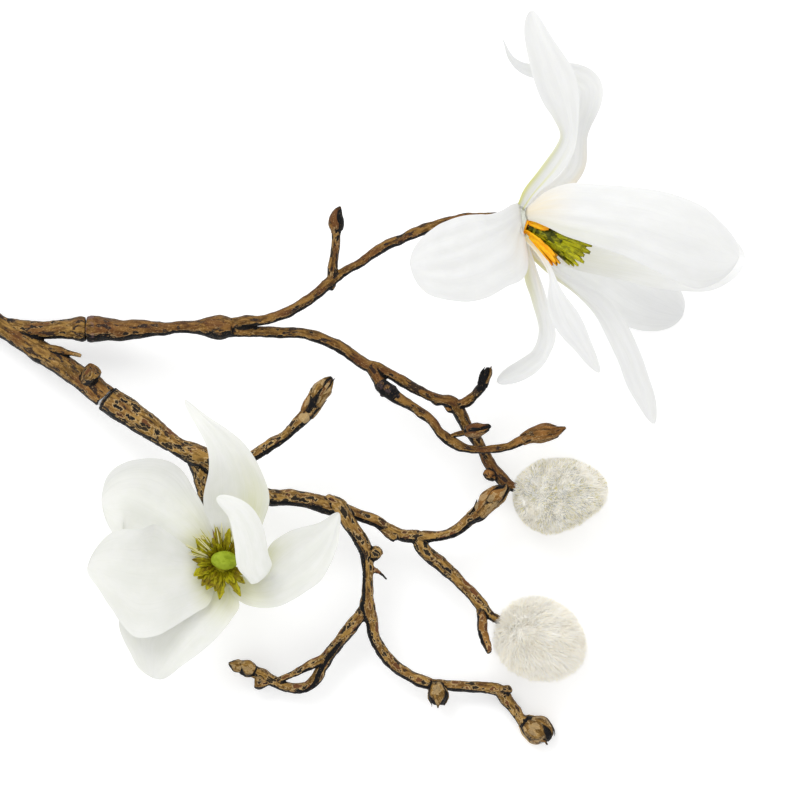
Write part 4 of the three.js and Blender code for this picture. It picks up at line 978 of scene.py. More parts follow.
def run_tree(piece, tree, values):
    """Gives a piece a Geometry Nodes modifier with these named inputs."""
    modifier = piece.modifiers.new("form", "NODES")
    modifier.node_group = tree
    for item in tree.interface.items_tree:
        if item.item_type == "SOCKET" and item.in_out == "INPUT" and item.name in values:
            modifier[item.identifier] = values[item.name]


def built_once(build):
    """Makes a function give the tree of its own name, which it builds if there is none yet."""
    name = build.__name__
    return lambda: bpy.data.node_groups.get(name) or build(name)


def new_tree(name, kind, inputs, outputs):
    """An empty node group with named sockets (name, socket type and default), and its ends."""
    tree = bpy.data.node_groups.new(name, kind)
    for label, socket, default in inputs:
        made = tree.interface.new_socket(label, in_out="INPUT", socket_type="NodeSocket" + socket)
        if default is not None:
            made.default_value = default
    for label, socket in outputs:
        tree.interface.new_socket(label, in_out="OUTPUT", socket_type="NodeSocket" + socket)
    return tree, tree.nodes.new("NodeGroupInput").outputs, tree.nodes.new("NodeGroupOutput").inputs


def end_tree(tree, shape, material, wanted):
    """Makes a tree's instances real, gives them the material and puts them out."""
    real = result(tree, "GeometryNodeRealizeInstances", {"Geometry": shape})
    inputs = {"Geometry": real, "Material": material}
    tree.links.new(result(tree, "GeometryNodeSetMaterial", inputs), wanted["Geometry"])


# The bark's flecks: long dark marks, the same in the relief and in the colour (millimetres).
FLECK_ACROSS = 1.1
FLECK_ALONG = 2.9
FLECK_WOBBLE = 1.3

# How far a hair may stray from its neighbours' way, and the seed of the hairs' tones.
STRAY = 0.35
TONE_SEED = 7


def fleck_field(tree, grain, amount, scale):
    """Above 0 in the bark's long dark marks, below 0 round them, and a random tone for each."""
    grain = scaled_vector(tree, grain, scale)
    moved = vector_math(tree, "ADD", grain, eddies(tree, grain, 1.1, FLECK_WOBBLE))
    shares = (1 / FLECK_ACROSS, 1 / FLECK_ACROSS, 1 / FLECK_ALONG)
    stretched = vector_math(tree, "MULTIPLY", moved, shares)
    cells = node(tree, "ShaderNodeTexVoronoi", {"Vector": stretched, "Scale": 1.0}).outputs
    draw = node(tree, "ShaderNodeSeparateXYZ", {0: cells["Color"]}).outputs
    inside = less(tree, times_plus(tree, draw[1], 0.3, 0.24), cells["Distance"])
    hidden = math_node(tree, "GREATER_THAN", draw[0], amount)
    return less(tree, inside, hidden), draw[2]


@built_once
def bark_relief(name):
    """The tree that gives bark its lengthwise ridges, lumps and sunk flecks."""
    tree, given, wanted = new_tree(name, "GeometryNodeTree", [
        ("Geometry", "Geometry", None), ("Material", "Material", None),
        ("Ridge Height", "Float", 0.0002), ("Lump Height", "Float", 0.0004),
        ("Fleck Depth", "Float", 0.0001), ("Fleck Amount", "Float", 0.5),
        ("Fleck Scale", "Float", 1.0),
    ], [("Geometry", "Geometry")])
    grain = stored_vector(tree, "grain")
    place = result(tree, "GeometryNodeInputPosition")
    ridges = grain_noise(tree, grain, 0.8, 0.14, 3.0, 0.55)
    lumps = noise_node(tree, place, 190.0, 2.0, 0.4)
    raised = times(tree, less(tree, ridges, 0.5), given["Ridge Height"])
    swollen = times(tree, less(tree, lumps, 0.5), given["Lump Height"])
    field, _ = fleck_field(tree, grain, given["Fleck Amount"], given["Fleck Scale"])
    sunk = times(tree, ramp(tree, field, -0.04, 0.1), given["Fleck Depth"])
    height = less(tree, added(tree, raised, swollen), sunk)
    normal = result(tree, "GeometryNodeInputNormal")
    inputs = {"Geometry": given["Geometry"], "Offset": scaled_vector(tree, normal, height)}
    moved = result(tree, "GeometryNodeSetPosition", inputs)
    end_tree(tree, moved, given["Material"], wanted)
    return tree


@built_once
def hair_pile(name):
    """The tree that grows a pile of tapering hairs on a fuzzy bud's core."""
    tree, given, wanted = new_tree(name, "GeometryNodeTree", [
        ("Geometry", "Geometry", None), ("Material", "Material", None),
        ("Hair Density", "Float", 4e6), ("Hair Length", "Float", 0.003),
        ("Hair Radius", "Float", 0.0001), ("Lean", "Float", 1.0), ("Swirl", "Float", 0.5),
        ("Seed", "Int", 0),
    ], [("Geometry", "Geometry")])
    seed = given["Seed"]
    spread = node(tree, "GeometryNodeDistributePointsOnFaces", {
        "Mesh": given["Geometry"], "Density": given["Hair Density"], "Seed": seed,
    }).outputs
    cone = result(tree, "GeometryNodeMeshCone", {
        "Vertices": 3, "Side Segments": 1, "Radius Top": 0.0, "Radius Bottom": 1.0, "Depth": 1.0,
    })
    place = result(tree, "GeometryNodeInputPosition")
    stray = result(tree, "FunctionNodeRandomValue", {
        0: (-STRAY, -STRAY, -STRAY), 1: (STRAY, STRAY, STRAY), "Seed": seed,
    }, data_type="FLOAT_VECTOR")
    way = scaled_vector(tree, stored_vector(tree, "flow"), given["Lean"])
    for bend in (eddies(tree, place, 420.0, given["Swirl"]), stray, spread["Normal"]):
        way = vector_math(tree, "ADD", way, bend)
    pointing = result(tree, "FunctionNodeAlignRotationToVector", {"Vector": way}, axis="Z")
    tall = times(tree, random_number(tree, 0.55, 1.0, seed), given["Hair Length"])
    radius = given["Hair Radius"]
    size = result(tree, "ShaderNodeCombineXYZ", {0: radius, 1: radius, 2: tall})
    hairs = result(tree, "GeometryNodeInstanceOnPoints", {
        "Points": spread["Points"], "Instance": cone, "Rotation": pointing, "Scale": size,
    })
    toned = result(tree, "GeometryNodeStoreNamedAttribute", {
        "Geometry": hairs, "Name": "tone", "Value": random_number(tree, 0.0, 1.0, TONE_SEED),
    }, data_type="FLOAT", domain="INSTANCE")
    whole = node(tree, "GeometryNodeJoinGeometry")
    tree.links.new(given["Geometry"], whole.inputs[0])
    tree.links.new(toned, whole.inputs[0])
    end_tree(tree, whole.outputs[0], given["Material"], wanted)
    return tree


# ---- finishes

# A tepal's grey tint is painted shade on its folds and curled tips.
TINTS = ("green", "gold", "grey")  # of a tepal
FILAMENT_PALE = (0.8, 0.76, 0.42)  # the colour of a strap or filament whose tone is below 0


def new_material(name):
    """A new material with its tree and its surface shader."""
    material = bpy.data.materials.new(name)
    material.use_nodes = True
    tree = material.node_tree
    return material, tree, tree.nodes["Principled BSDF"]


def attribute(tree, name, output="Fac"):
    return node(tree, "ShaderNodeAttribute", attribute_name=name).outputs[output]


def object_place(tree):
    return tree.nodes.new("ShaderNodeTexCoord").outputs["Object"]


def bump(tree, shader, height, strength, distance):
    inputs = {"Height": height, "Strength": strength, "Distance": distance}
    tree.links.new(result(tree, "ShaderNodeBump", inputs), shader.inputs["Normal"])


def group_node(tree, group, inputs):
    return node(tree, "ShaderNodeGroup", inputs, node_tree=group).outputs


# What the bark's pattern is given: the marks that its points keep, its colours and its amounts.
BARK_MARKS = ("crevice", "worn", "under", "upward", "band", "rim", "blade", *PAINTS)
BARK_COLOURS = {
    "Light": "golden_brown", "Middle": "middle_brown", "Dark": "dark_brown",
    "Black": "blue_black", "Rust": "red_brown", "Bright": "pale_wood", "Amber Brown": "amber",
    "Purple Grey": "purple_grey",
}
BARK_AMOUNTS = {
    "Fleck Amount": "flecks", "Fleck Scale": "fleck_scale", "Patch Start": "patch_start",
    "Redness": "redness", "Dark Side": "dark_side", "Outline": "outline",
}

# The bark's noises: how fine each is across and along a limb, its detail and its roughness.
BARK_NOISES = {
    "streaks": (0.9, 0.2, 3.0, 0.55),
    "mottle": (0.42, 0.16, 3.0, 0.6),
    "clouds": (0.2, 0.07, 2.0, 0.5),
    "grit": (3.2, 1.2, 2.0, 0.6),
}
GRIT_CONTRAST = 0.55  # how far grit darkens and lightens the colours
# Painted shade: the share of the bark's colours that is left where it looks down or to the side.
TURNED_AWAY = (0.2, 0.16, 0.14, 1)  # what is left of the bark's colours where it looks down


def wood_colour(tree, given, noises, wild):
    """The streaked and clouded brown of bark, with its dark patches, paints and grit, a painted
    highlight on proud places, pale painted glints, and painted shade as it turns from straight up.
    """
    streaks, grit, start = noises["streaks"], noises["grit"], given["Patch Start"]
    patches = ramp(tree, noises["mottle"], start, added(tree, start, 0.03))
    base = mix_colours(tree, ramp(tree, streaks, 0.4, 0.6), given["Middle"], given["Light"])
    for mask, colour in (
        (ramp(tree, streaks, 0.38, 0.33, 0.0, 0.75), "Dark"),
        (times(tree, ramp(tree, noises["clouds"], 0.45, 0.62), given["Redness"]), "Rust"),
        # Painted highlight on proud places.
        (times(tree, given["Worn"], 0.3), "Light"),
        (times(tree, given["Amber"], ramp(tree, streaks, 0.3, 0.5, 0.6, 1.0)), "Amber Brown"),
        (times(tree, given["Blade"], ramp(tree, streaks, 0.34, 0.6, 0.85, 0.2)), "Middle"),
        (given["Rusty"], "Rust"),
        (times(tree, patches, times(tree, wild, 0.92)), "Dark"),
        # Painted highlight: small pale glints where the grit is high.
        (times(tree, ramp(tree, grit, 0.6, 0.68), 0.35), "Bright"),
    ):
        base = mix_colours(tree, mask, base, given[colour])
    low, high = 1 - GRIT_CONTRAST, 1 + GRIT_CONTRAST
    gritty = mix_colours(tree, grit, (low, low, low, 1), (high, high, high, 1))
    base = mix_colours(tree, 0.5, base, mix_colours(tree, 1.0, base, gritty, "MULTIPLY"))
    # Painted shade: the bark darkens as it turns away from straight up.
    side = mix_colours(tree, ramp(tree, given["Upward"], -0.1, 0.92), TURNED_AWAY, (1, 1, 1, 1))
    return mix_colours(tree, 1.0, base, side, "MULTIPLY")


def with_flecks(tree, given, base, flecks, wild):
    """Bark with its flecks, black or rust red, and a painted highlight round them as pale rims."""
    field, tone = flecks
    # Painted highlight: pale rims round the flecks.
    outline = times(tree, ramp(tree, field, -0.16, -0.05), given["Outline"])
    base = mix_colours(tree, outline, base, given["Bright"])
    marked = mix_colours(tree, ramp(tree, tone, 0.68, 0.85), given["Black"], given["Rust"])
    inside = times(tree, ramp(tree, field, -0.03, 0.01), times(tree, wild, 0.95))
    return mix_colours(tree, inside, base, marked)


def black_parts(tree, given, noises, wild):
    """Where bark is black, and the painted highlight beside its shaded side. The black is painted
    shade on the shaded side, in the bands and hollows and along the rims of a bud's scales, and
    black paint with painted shade where burnt is laid.
    """
    streaks = noises["streaks"]
    # Painted shade on the side turned from the light, with a painted highlight along its edge.
    start = less(tree, 1.0, given["Dark Side"])
    depth = times_plus(tree, streaks, 1.1, less(tree, given["Under"], 0.55))
    beside = ramp(tree, depth, less(tree, start, 0.16), less(tree, start, 0.02))
    edge = times(tree, times(tree, beside, ramp(tree, noises["grit"], 0.45, 0.55)), 0.4)
    shaded = times(tree, ramp(tree, depth, start, added(tree, start, 0.08)), wild)
    # Painted shade in the bands along a limb's shaded side.
    banded = ramp(tree, times_plus(tree, streaks, 0.16, given["Band"]), 0.07, 0.1)
    # Painted shade in the bark's hollows.
    hollow = times(tree, ramp(tree, given["Crevice"], 0.2, 0.7), wild)
    # Black paint, and painted shade where it fills the gaps between a bud's scales.
    burnt = ramp(tree, times_plus(tree, noises["mottle"], 1.2, given["Burnt"]), 0.85, 1.15)
    return highest(tree, shaded, banded, hollow, burnt, given["Rim"]), edge


@built_once
def bark_pattern(name):
    """Bark's colour, roughness and height."""
    tree, given, wanted = new_tree(name, "ShaderNodeTree", [
        ("Grain", "Vector", None),
        *((label.title(), "Float", 0.0) for label in (*BARK_MARKS, *BARK_AMOUNTS)),
        *((label, "Color", None) for label in BARK_COLOURS),
    ], [("Color", "Color"), ("Roughness", "Float"), ("Height", "Float")])
    grain = given["Grain"]
    noises = {label: grain_noise(tree, grain, *form) for label, form in BARK_NOISES.items()}
    mottle, grit = noises["mottle"], noises["grit"]
    flecks = fleck_field(tree, grain, given["Fleck Amount"], given["Fleck Scale"])
    wild = times_plus(tree, given["Blade"], -0.8, 1.0)  # a bud's scales have fewer marks
    base = with_flecks(tree, given, wood_colour(tree, given, noises, wild), flecks, wild)
    black, edge = black_parts(tree, given, noises, wild)
    # Painted highlight beside the shaded side, then black with its painted shade, pale paint and
    # the painted purple-grey sheen.
    for mask, colour in (
        (edge, "Bright"),
        (times(tree, black, ramp(tree, grit, 0.7, 0.62, 0.6, 1.0)), "Black"),
        (given["Pale"], "Bright"),
        (times(tree, given["Sheen"], ramp(tree, mottle, 0.46, 0.56)), "Purple Grey"),
    ):
        base = mix_colours(tree, mask, base, given[colour])
    raised = times_plus(tree, grit, 0.5, noises["streaks"])
    dented = times(tree, added(tree, ramp(tree, flecks[0], -0.05, 0.05), black), 0.3)
    feed(tree, wanted, {
        "Color": base,
        "Roughness": ramp(tree, grit, 0.3, 0.7, 0.4, 0.6),
        "Height": less(tree, raised, dented),
    })
    return tree


def tinted(colour, tint):
    return (*(part * share for part, share in zip(colour, tint)), 1)


def bark_material(name, settings, look):
    """Bark in one of its three looks, whose tint changes its two lighter browns."""
    material, tree, shader = new_material(name)
    colours = {label: (*getattr(settings, key), 1) for label, key in BARK_COLOURS.items()}
    for label in ("Light", "Middle"):
        colours[label] = tinted(colours[label], look["tint"])
    out = group_node(tree, bark_pattern(), {
        "Grain": attribute(tree, "grain", "Vector"),
        **{mark.title(): attribute(tree, mark) for mark in BARK_MARKS},
        **{label: look[key] for label, key in BARK_AMOUNTS.items()},
        **colours,
    })
    feed(tree, shader.inputs, {
        "Base Color": out["Color"], "Roughness": out["Roughness"], "Specular IOR Level": 0.12,
    })
    bump(tree, shader, out["Height"], 0.5, 0.0004)
    return material


@built_once
def soft_streaks(name):
    """Fine lines along a soft plant part, by its own UV map, and a broad unevenness."""
    tree, given, wanted = new_tree(name, "ShaderNodeTree", [
        ("UV", "Vector", None), ("Lines", "Float", 30.0), ("Run", "Float", 2.0),
    ], [("Lines", "Float"), ("Mottle", "Float")])
    uv = given["UV"]
    stretch = result(tree, "ShaderNodeCombineXYZ", {0: given["Lines"], 1: given["Run"]})
    feed(tree, wanted, {
        "Lines": noise_node(tree, vector_math(tree, "MULTIPLY", uv, stretch), 1.0, 3.0, 0.6),
        "Mottle": noise_node(tree, uv, 5.0, 3.0, 0.55),
    })
    return tree


def tepal_material(name, white, shade, settings):
    """Satin white with fine veins, tinted at the claw and along the marked edges; its per-tepal
    white is painted light and shade, and its grey tint is painted shade.
    """
    material, tree, shader = new_material(name)
    uv = result(tree, "ShaderNodeUVMap", uv_map="blade")
    out = group_node(tree, soft_streaks(), {"UV": uv, "Lines": 46.0, "Run": 2.5})
    lines = out["Lines"]
    base = mix_colours(tree, ramp(tree, out["Mottle"], 0.35, 0.65), (*shade, 1), (*white, 1))
    veins = times(tree, ramp(tree, lines, 0.52, 0.7), 0.1)
    base = mix_colours(tree, veins, base, (*shade, 1), "MULTIPLY")
    # Painted light and shade: the per-tepal white lightens or darkens each tepal to even out how
    # the light falls on it.
    base = mix_colours(tree, 1.0, base, attribute(tree, "white", "Color"), "MULTIPLY")
    uneven = ramp(tree, lines, 0.35, 0.6, 0.7, 1.0)
    # The grey tint is painted shade on folds and curled tips.
    colours = (settings.claw_green, settings.claw_gold, settings.fold_grey)
    for tint, colour in zip(TINTS, colours):
        base = mix_colours(tree, times(tree, attribute(tree, tint), uneven), base, (*colour, 1))
    feed(tree, shader.inputs, {
        "Base Color": base,
        "Roughness": ramp(tree, lines, 0.3, 0.7, 0.48, 0.6),
        "Specular IOR Level": 0.25,
        "Subsurface Weight": 0.25,
        "Subsurface Radius": (1.0, 1.0, 0.8),
        "Subsurface Scale": 0.0015,
    })
    bump(tree, shader, lines, 0.12, 0.0003)
    return material


def plant_material(name, dark, light, tip, brown):
    """A ridged strap or knob: painted shade in the hollows of its ridges, light at its tip, brown
    or pale by its tone.
    """
    material, tree, shader = new_material(name)
    uv = result(tree, "ShaderNodeUVMap", uv_map="blade")
    lines = group_node(tree, soft_streaks(), {"UV": uv, "Lines": 9.0, "Run": 3.0})["Lines"]
    along = node(tree, "ShaderNodeSeparateXYZ", {0: uv}).outputs[1]
    tone = attribute(tree, "tone")
    spots = noise_node(tree, object_place(tree), 420.0, 3.0, 0.6)
    spotted = ramp(tree, spots, 0.48, 0.6, 0.0, 0.45)
    base = (*light, 1)
    for mask, colour in (
        (ramp(tree, along, 0.45, 1.0, 0.0, 0.8), tip),
        (times_plus(tree, tone, 0.7, spotted), brown),
        (ramp(tree, spots, 0.45, 0.36, 0.0, 0.6), tip),
        # Painted shade in the hollows of the ridges.
        (ramp(tree, lines, 0.47, 0.38, 0.0, 0.8), dark),
        (ramp(tree, tone, -0.1, -0.7), FILAMENT_PALE),
    ):
        base = mix_colours(tree, mask, base, (*colour, 1))
    feed(tree, shader.inputs, {"Base Color": base, "Roughness": 0.5, "Specular IOR Level": 0.2})
    bump(tree, shader, lines, 0.4, 0.0004)
    return material


def fuzz_material(name, settings, bright, specks):
    """Short hair: pale, with warm hairs and, where it is flecked, yellow ones and grey ones that
    are painted shadow between the hairs.
    """
    material, tree, shader = new_material(name)
    tone = attribute(tree, "tone")
    place = object_place(tree)
    patches = noise_node(tree, place, 220.0, 3.0, 0.6)
    flecked = times(tree, ramp(tree, noise_node(tree, place, 160.0), 0.3, 0.55), specks)
    off_middle = math_node(tree, "ABSOLUTE", less(tree, tone, 0.5))
    yellow = math_node(tree, "LESS_THAN", off_middle, 0.06)
    grey = math_node(tree, "LESS_THAN", tone, 0.1)
    base = (*settings.pale, 1)
    for mask, colour in (
        (ramp(tree, tone, 0.4, 0.95), settings.warm),
        (ramp(tree, patches, 0.45, 0.7, 0.0, 0.5), settings.warm),
        (times(tree, yellow, flecked), settings.yellow_speck),
        # Painted shadow: grey hairs that stand for the shade between the hairs.
        (times(tree, grey, flecked), settings.grey_speck),
    ):
        base = mix_colours(tree, mask, base, (*colour, 1))
    base = mix_colours(tree, 1.0, base, (bright, bright, bright, 1), "MULTIPLY")
    feed(tree, shader.inputs, {
        "Base Color": base, "Roughness": 0.85, "Sheen Weight": 0.5, "Specular IOR Level": 0.15,
    })
    return material


def smooth_material(name, colour, roughness):
    """A moulded part with faint clouding and scuffs."""
    material, tree, shader = new_material(name)
    place = object_place(tree)
    clouds = noise_node(tree, place, 350.0, 4.0, 0.6)
    darker = (*(0.8 * part for part in colour), 1)
    feed(tree, shader.inputs, {
        "Base Color": mix_colours(tree, ramp(tree, clouds, 0.35, 0.65), darker, (*colour, 1)),
        "Roughness": ramp(tree, clouds, 0.3, 0.7, roughness - 0.08, roughness + 0.08),
    })
    bump(tree, shader, noise_node(tree, place, 1500.0), 0.1, 0.0002)
    return material


# ---- blades

TEPAL_CLEARANCE = 0.05  # how far above the floor the lowest tepal stays
PLAIN_TONE = 0.4  # how brown a part of a bloom's middle is, where it has no tone of its own
CORE_TONE = 1.3  # the same for the upper bloom's core


def shell(middle, thickness):
    """A closed blade round a grid of middle points, its two faces meeting along the rim."""
    rows, columns = middle.shape[:2]
    along = np.gradient(middle, axis=0)
    across = np.gradient(middle, axis=1)
    normal = unit(np.cross(across, along))
    lift = normal * (thickness / 2)[..., None]
    rim = np.zeros((rows, columns), bool)
    rim[[0, -1]] = True
    rim[:, [0, -1]] = True
    top = np.arange(rows * columns).reshape(rows, columns)
    bottom = top.copy()
    bottom[~rim] = rows * columns + np.arange((~rim).sum())
    upper = np.where(rim[..., None], middle, middle + lift)
    lower = (middle - lift)[~rim]
    quads = grid_faces(rows, columns)
    faces = np.vstack([quads, bottom.ravel()[quads][:, ::-1]])
    order = np.concatenate([top.ravel(), top[~rim]])
    return np.vstack([upper.reshape(-1, 3), lower]), faces, order


def add_uv(mesh, across, along):
    """A UV map named blade: across a blade, and from its root to its tip."""
    layer = mesh.uv_layers.new(name="blade")
    corner = read(mesh.loops, "vertex_index", 1).astype(int).ravel()
    layer.data.foreach_set("uv", np.column_stack([across, along])[corner].ravel())


def spline_values(values, u):
    """Values on a smooth curve through evenly spaced ones, at places between 0 and 1."""
    values = np.array(values, float)
    place = u * (len(values) - 1)
    i = np.minimum(place.astype(int), len(values) - 2)
    t = place - i
    before, start = values[np.maximum(i - 1, 0)], values[i]
    end, after = values[i + 1], values[np.minimum(i + 2, len(values) - 1)]
    leaving, arriving = (end - before) / 2, (after - start) / 2
    square = 3 * end - 3 * start - 2 * leaving - arriving
    return start + leaving * t + square * t**2 + (2 * start - 2 * end + leaving + arriving) * t**3


def tepal_grid(form):
    """The middle points of a tepal, with the shares across (-1 to 1) and along (0 to 1)."""
    row = np.arange(TEPAL_ROWS + 1) / TEPAL_ROWS
    u = TIP_END * (1 - (1 - row) ** TIP_CROWDING)
    walked, path = smooth_path(form["spine"], SPINE_STEP)
    place = u * walked[-1]
    points = values_at(place, walked, path)
    along = unit(values_at(place, walked, np.gradient(path, axis=0)))
    face = np.array(form["face"], float)
    inner = values_at(u, np.linspace(0, 1, len(face)), face)
    inner = unit(inner - along * (inner * along).sum(1)[:, None])
    side = np.cross(along, inner)
    rounding = np.sqrt(1 - u**TIP_ROUNDNESS)
    edge = np.array((*NEAR_RIM, 1))
    even = np.linspace(-RIM_START, RIM_START, TEPAL_COLUMNS + 1)
    across = np.concatenate([-edge[::-1], even, edge])[None]
    left, right = (spline_values(form[key], u) * rounding for key in ("left", "right"))
    half = np.where(across < 0, left[:, None], right[:, None])
    rise = half * (form["cup"] * across**2 + form["crease"] * np.abs(across))
    count, height = form["ribs"]
    middle_part = smooth_step(0.02, 0.3, u) * (1 - smooth_step(0.7, 0.98, u))
    rise = rise + height * np.cos(math.pi * count * across) * (1 - across**4) * middle_part[:, None]
    waves, wave_height, phase = form["waves"]
    wave = np.sin(2 * math.pi * (waves * u + phase))[:, None] * np.where(across < 0, 1, -0.8)
    rise = rise + wave_height * wave * np.abs(across) ** 3 * smooth_step(0.1, 0.5, u)[:, None]
    middle = points[:, None] + side[:, None] * (half * across)[..., None]
    middle = middle + inner[:, None] * rise[..., None]
    return middle, np.broadcast_to(across, half.shape), np.broadcast_to(u[:, None], half.shape)


def tepal(name, form, settings, material):
    """One tepal: a thin waved blade, rounded at its rim, with its tints."""
    middle, across, along = tepal_grid(FLAT_TEPAL | form)
    body = settings.thickness / MM * (1 - 0.35 * along)
    rounding = np.sqrt(np.maximum(0, 1 - np.abs(across) ** 6))
    rounding = rounding * np.sqrt(np.minimum(1, (1 - along) * 12))
    points, faces, order = shell(middle, body * rounding)
    points[:, 2] = np.maximum(points[:, 2], TEPAL_CLEARANCE)
    mesh = mesh_of(name, points, faces)
    a, u = across.ravel()[order], along.ravel()[order]
    add_uv(mesh, (a + 1) / 2, u)
    # The white is painted light and shade, set tepal by tepal.
    store(mesh, "white", np.full(len(points), form["white"]))
    for tint in TINTS:
        amount = np.zeros(len(points))
        for colour, centre, width, start, end, strength in form["tints"]:
            if colour == tint:
                near = np.exp(-(((a - centre) / width) ** 2))
                amount = np.maximum(amount, strength * (1 - smooth_step(start, end, u)) * near)
        store(mesh, tint, amount)
    return finish_piece(placed(name + "_blade", mesh), "tepal", name, material=material)


def strap_grid(length, width, form):
    """The middle points of a strap from the origin along +Y, face towards +Z, with its shares."""
    v = np.linspace(0, 1, form["rows"])[:, None]
    a = np.linspace(-1, 1, form["columns"])[None]
    swell = np.interp(v, form["outline"][0], form["outline"][1])
    saw = (v * form["teeth"]) % 1 if form["teeth"] else 0 * v
    notch = 1 - form["notch"] * saw * smooth_step(0.12, 0.3, v) * (1 - smooth_step(0.93, 1, v))
    half = width / 2 * swell * np.where(np.abs(a) > 0.99, notch, 1)
    rise = form["bend"] * length * v**2 + form["cup"] * half * a**2
    ridges = form["ridge"] * np.cos(form["ridges"] * math.pi * a)
    rise = rise + ridges * smooth_step(0, 0.2, v) * (1 - v * 0.5)
    grid = np.stack(np.broadcast_arrays(half * a, v * length, rise), axis=2)
    return grid, np.broadcast_to(a, grid.shape[:2]), np.broadcast_to(v, grid.shape[:2])


def turned(profile, lobes=0, lobe_depth=0.0):
    """A body turned round +Y from its outline (radius, height), its edges slightly eased."""
    outline = np.array(profile, float)
    walked = np.concatenate([[0], np.cumsum(np.linalg.norm(np.diff(outline, axis=0), axis=1))])
    steps = np.linspace(0, walked[-1], max(8, round(walked[-1] / TURNED_STEP)) + 1)
    radius, height = (np.interp(steps, walked, column) for column in outline.T)
    eased = np.convolve(np.pad(radius, 1, mode="edge"), (0.25, 0.5, 0.25), "valid")
    radius = np.where((steps > 0) & (steps < walked[-1]), eased, radius)[1:-1]
    angle = np.arange(TURNED_SIDES) * 2 * math.pi / TURNED_SIDES
    lobed = radius[:, None] * (1 + lobe_depth * np.cos(lobes * angle)[None])
    across, level, out = lobed * np.sin(angle), height[1:-1, None], lobed * np.cos(angle)
    points, faces = tube(np.stack(np.broadcast_arrays(across, level, out), axis=2))
    points[-2:] = [(0, height[0], 0), (0, height[-1], 0)]
    share = np.concatenate([np.repeat(steps[1:-1] / walked[-1], TURNED_SIDES), [0, 1]])
    around = np.concatenate([np.tile(np.arange(TURNED_SIDES) / TURNED_SIDES, len(radius)), [0, 0]])
    return points, [face[::-1] for face in faces], around, share


def turn_matrix(axis, angle):
    """The rotation by an angle about a unit axis, as a matrix."""
    x, y, z = axis
    cross = np.array([[0, -z, y], [z, 0, -x], [-y, x, 0]])
    return np.eye(3) + math.sin(angle) * cross + (1 - math.cos(angle)) * cross @ cross


def stand(points, place, axis):
    """Points made round +Y, moved to stand on a place along an axis."""
    axis = unit(axis)
    hinge = np.cross((0, 1, 0), axis)
    if np.linalg.norm(hinge) > 1e-9:
        angle = math.atan2(np.linalg.norm(hinge), axis[1])
        points = points @ turn_matrix(unit(hinge), angle).T
    return points + np.array(place, float)


def strap_part(crown, form, strap, roll):
    """One strap of a crown as a closed blade, with its UV places and its tone."""
    turn, length, width, spread, tone = strap
    grid, a, v = strap_grid(length, width, form)
    rounding = np.sqrt(np.maximum(0.0, 1 - np.abs(a) ** 6)) * (1 - 0.5 * v)
    points, faces, order = shell(grid, form["thick"] * min(1, width) * rounding)
    points = points @ turn_matrix((0, 1, 0), math.radians(roll)).T
    points = points @ turn_matrix((1, 0, 0), math.radians(spread)).T
    points += (0, crown["rise"] + crown["collar_height"] / 2, crown["root"])
    points = points @ turn_matrix((0, 1, 0), math.radians(turn)).T
    across = (a.ravel()[order] + 1) / 2 + turn
    return points, faces, across, v.ravel()[order], tone


def crown_parts(crown, form, seed):
    """The straps of a crown round +Y, with the fine filaments that stand among them."""
    draw = random.Random(seed)
    parts = [strap_part(crown, form, strap, draw.uniform(-20, 20)) for strap in crown["straps"]]
    fine = crown.get("filaments", {"count": 0})
    for _ in range(fine["count"]):
        values = [draw.uniform(*fine[key]) for key in ("turns", "length", "spread")]
        strap = (values[0], values[1], fine["width"], values[2], draw.uniform(-1, -0.2))
        parts.append(strap_part(crown, form | {"teeth": 0, "ridge": 0}, strap, 0))
    return parts


def middle_piece(name, node_name, slot, parts, middle, material):
    """One closed set of straps and turned parts, standing on a bloom's middle."""
    points, faces = joined([part[:2] for part in parts])
    mesh = mesh_of(name, stand(points, middle["place"], middle["axis"]), faces)
    add_uv(mesh, *(np.concatenate([part[i] for part in parts]) for i in (2, 3)))
    tones = [part[4] if len(part) > 4 else PLAIN_TONE for part in parts]
    store(mesh, "tone", np.repeat(tones, [len(part[0]) for part in parts]))
    return finish_piece(placed(name, mesh), slot, node_name, material=material)


# The three barks: how finely each is made (voxel, millimetres), how high its ridges are, how
# many flecks it has, how deep and how fine they are and how strong their rims of painted
# highlight are, where its dark patches start in their noise (fewer if higher), how red it is,
# how far the painted shade of its shaded side reaches, and its two lighter browns as shares of
# the settings' own.
SMOOTH_BARK = {
    "voxel": 0.3, "ridges": 1.0, "flecks": 0.26, "fleck_depth": 0.07, "fleck_scale": 0.8,
    "outline": 0.3, "patch_start": 0.57, "redness": 0.6, "dark_side": 0.98,
    "tint": (0.69, 0.665, 0.66),
}
STREAKED_BARK = {
    "voxel": 0.36, "ridges": 0.9, "flecks": 0.08, "fleck_depth": 0.05, "fleck_scale": 0.8,
    "outline": 0.2, "patch_start": 0.575, "redness": 0.55, "dark_side": 1.18,
    "tint": (0.57, 0.51, 0.47),
}
FLECKED_BARK = {
    "voxel": 0.415, "ridges": 1.3, "flecks": 1.0, "fleck_depth": 0.18, "fleck_scale": 0.64,
    "outline": 0.6, "patch_start": 0.59, "redness": 0.35, "dark_side": 1.12,
    "tint": (0.81, 0.8, 0.8),
}

# The stage, in metres.
FLOOR_RADIUS = 3.2
FLOOR_DEPTH = 0.0002  # how far the floor lies below what rests on it
VIEW_DEPTH = 20
KEY_WIDTH = 1.6
KEY_PLACE = (-1.0, 1.7, 2.3)


def floor_disc():
    """A round floor, in millimetres, as points and one face."""
    angles = np.linspace(0, 2 * math.pi, 96, endpoint=False)
    across = FLOOR_RADIUS / MM
    level = np.full(len(angles), -FLOOR_DEPTH / MM)
    points = np.column_stack([across * np.cos(angles), across * np.sin(angles), level])
    return points, [range(len(angles))]


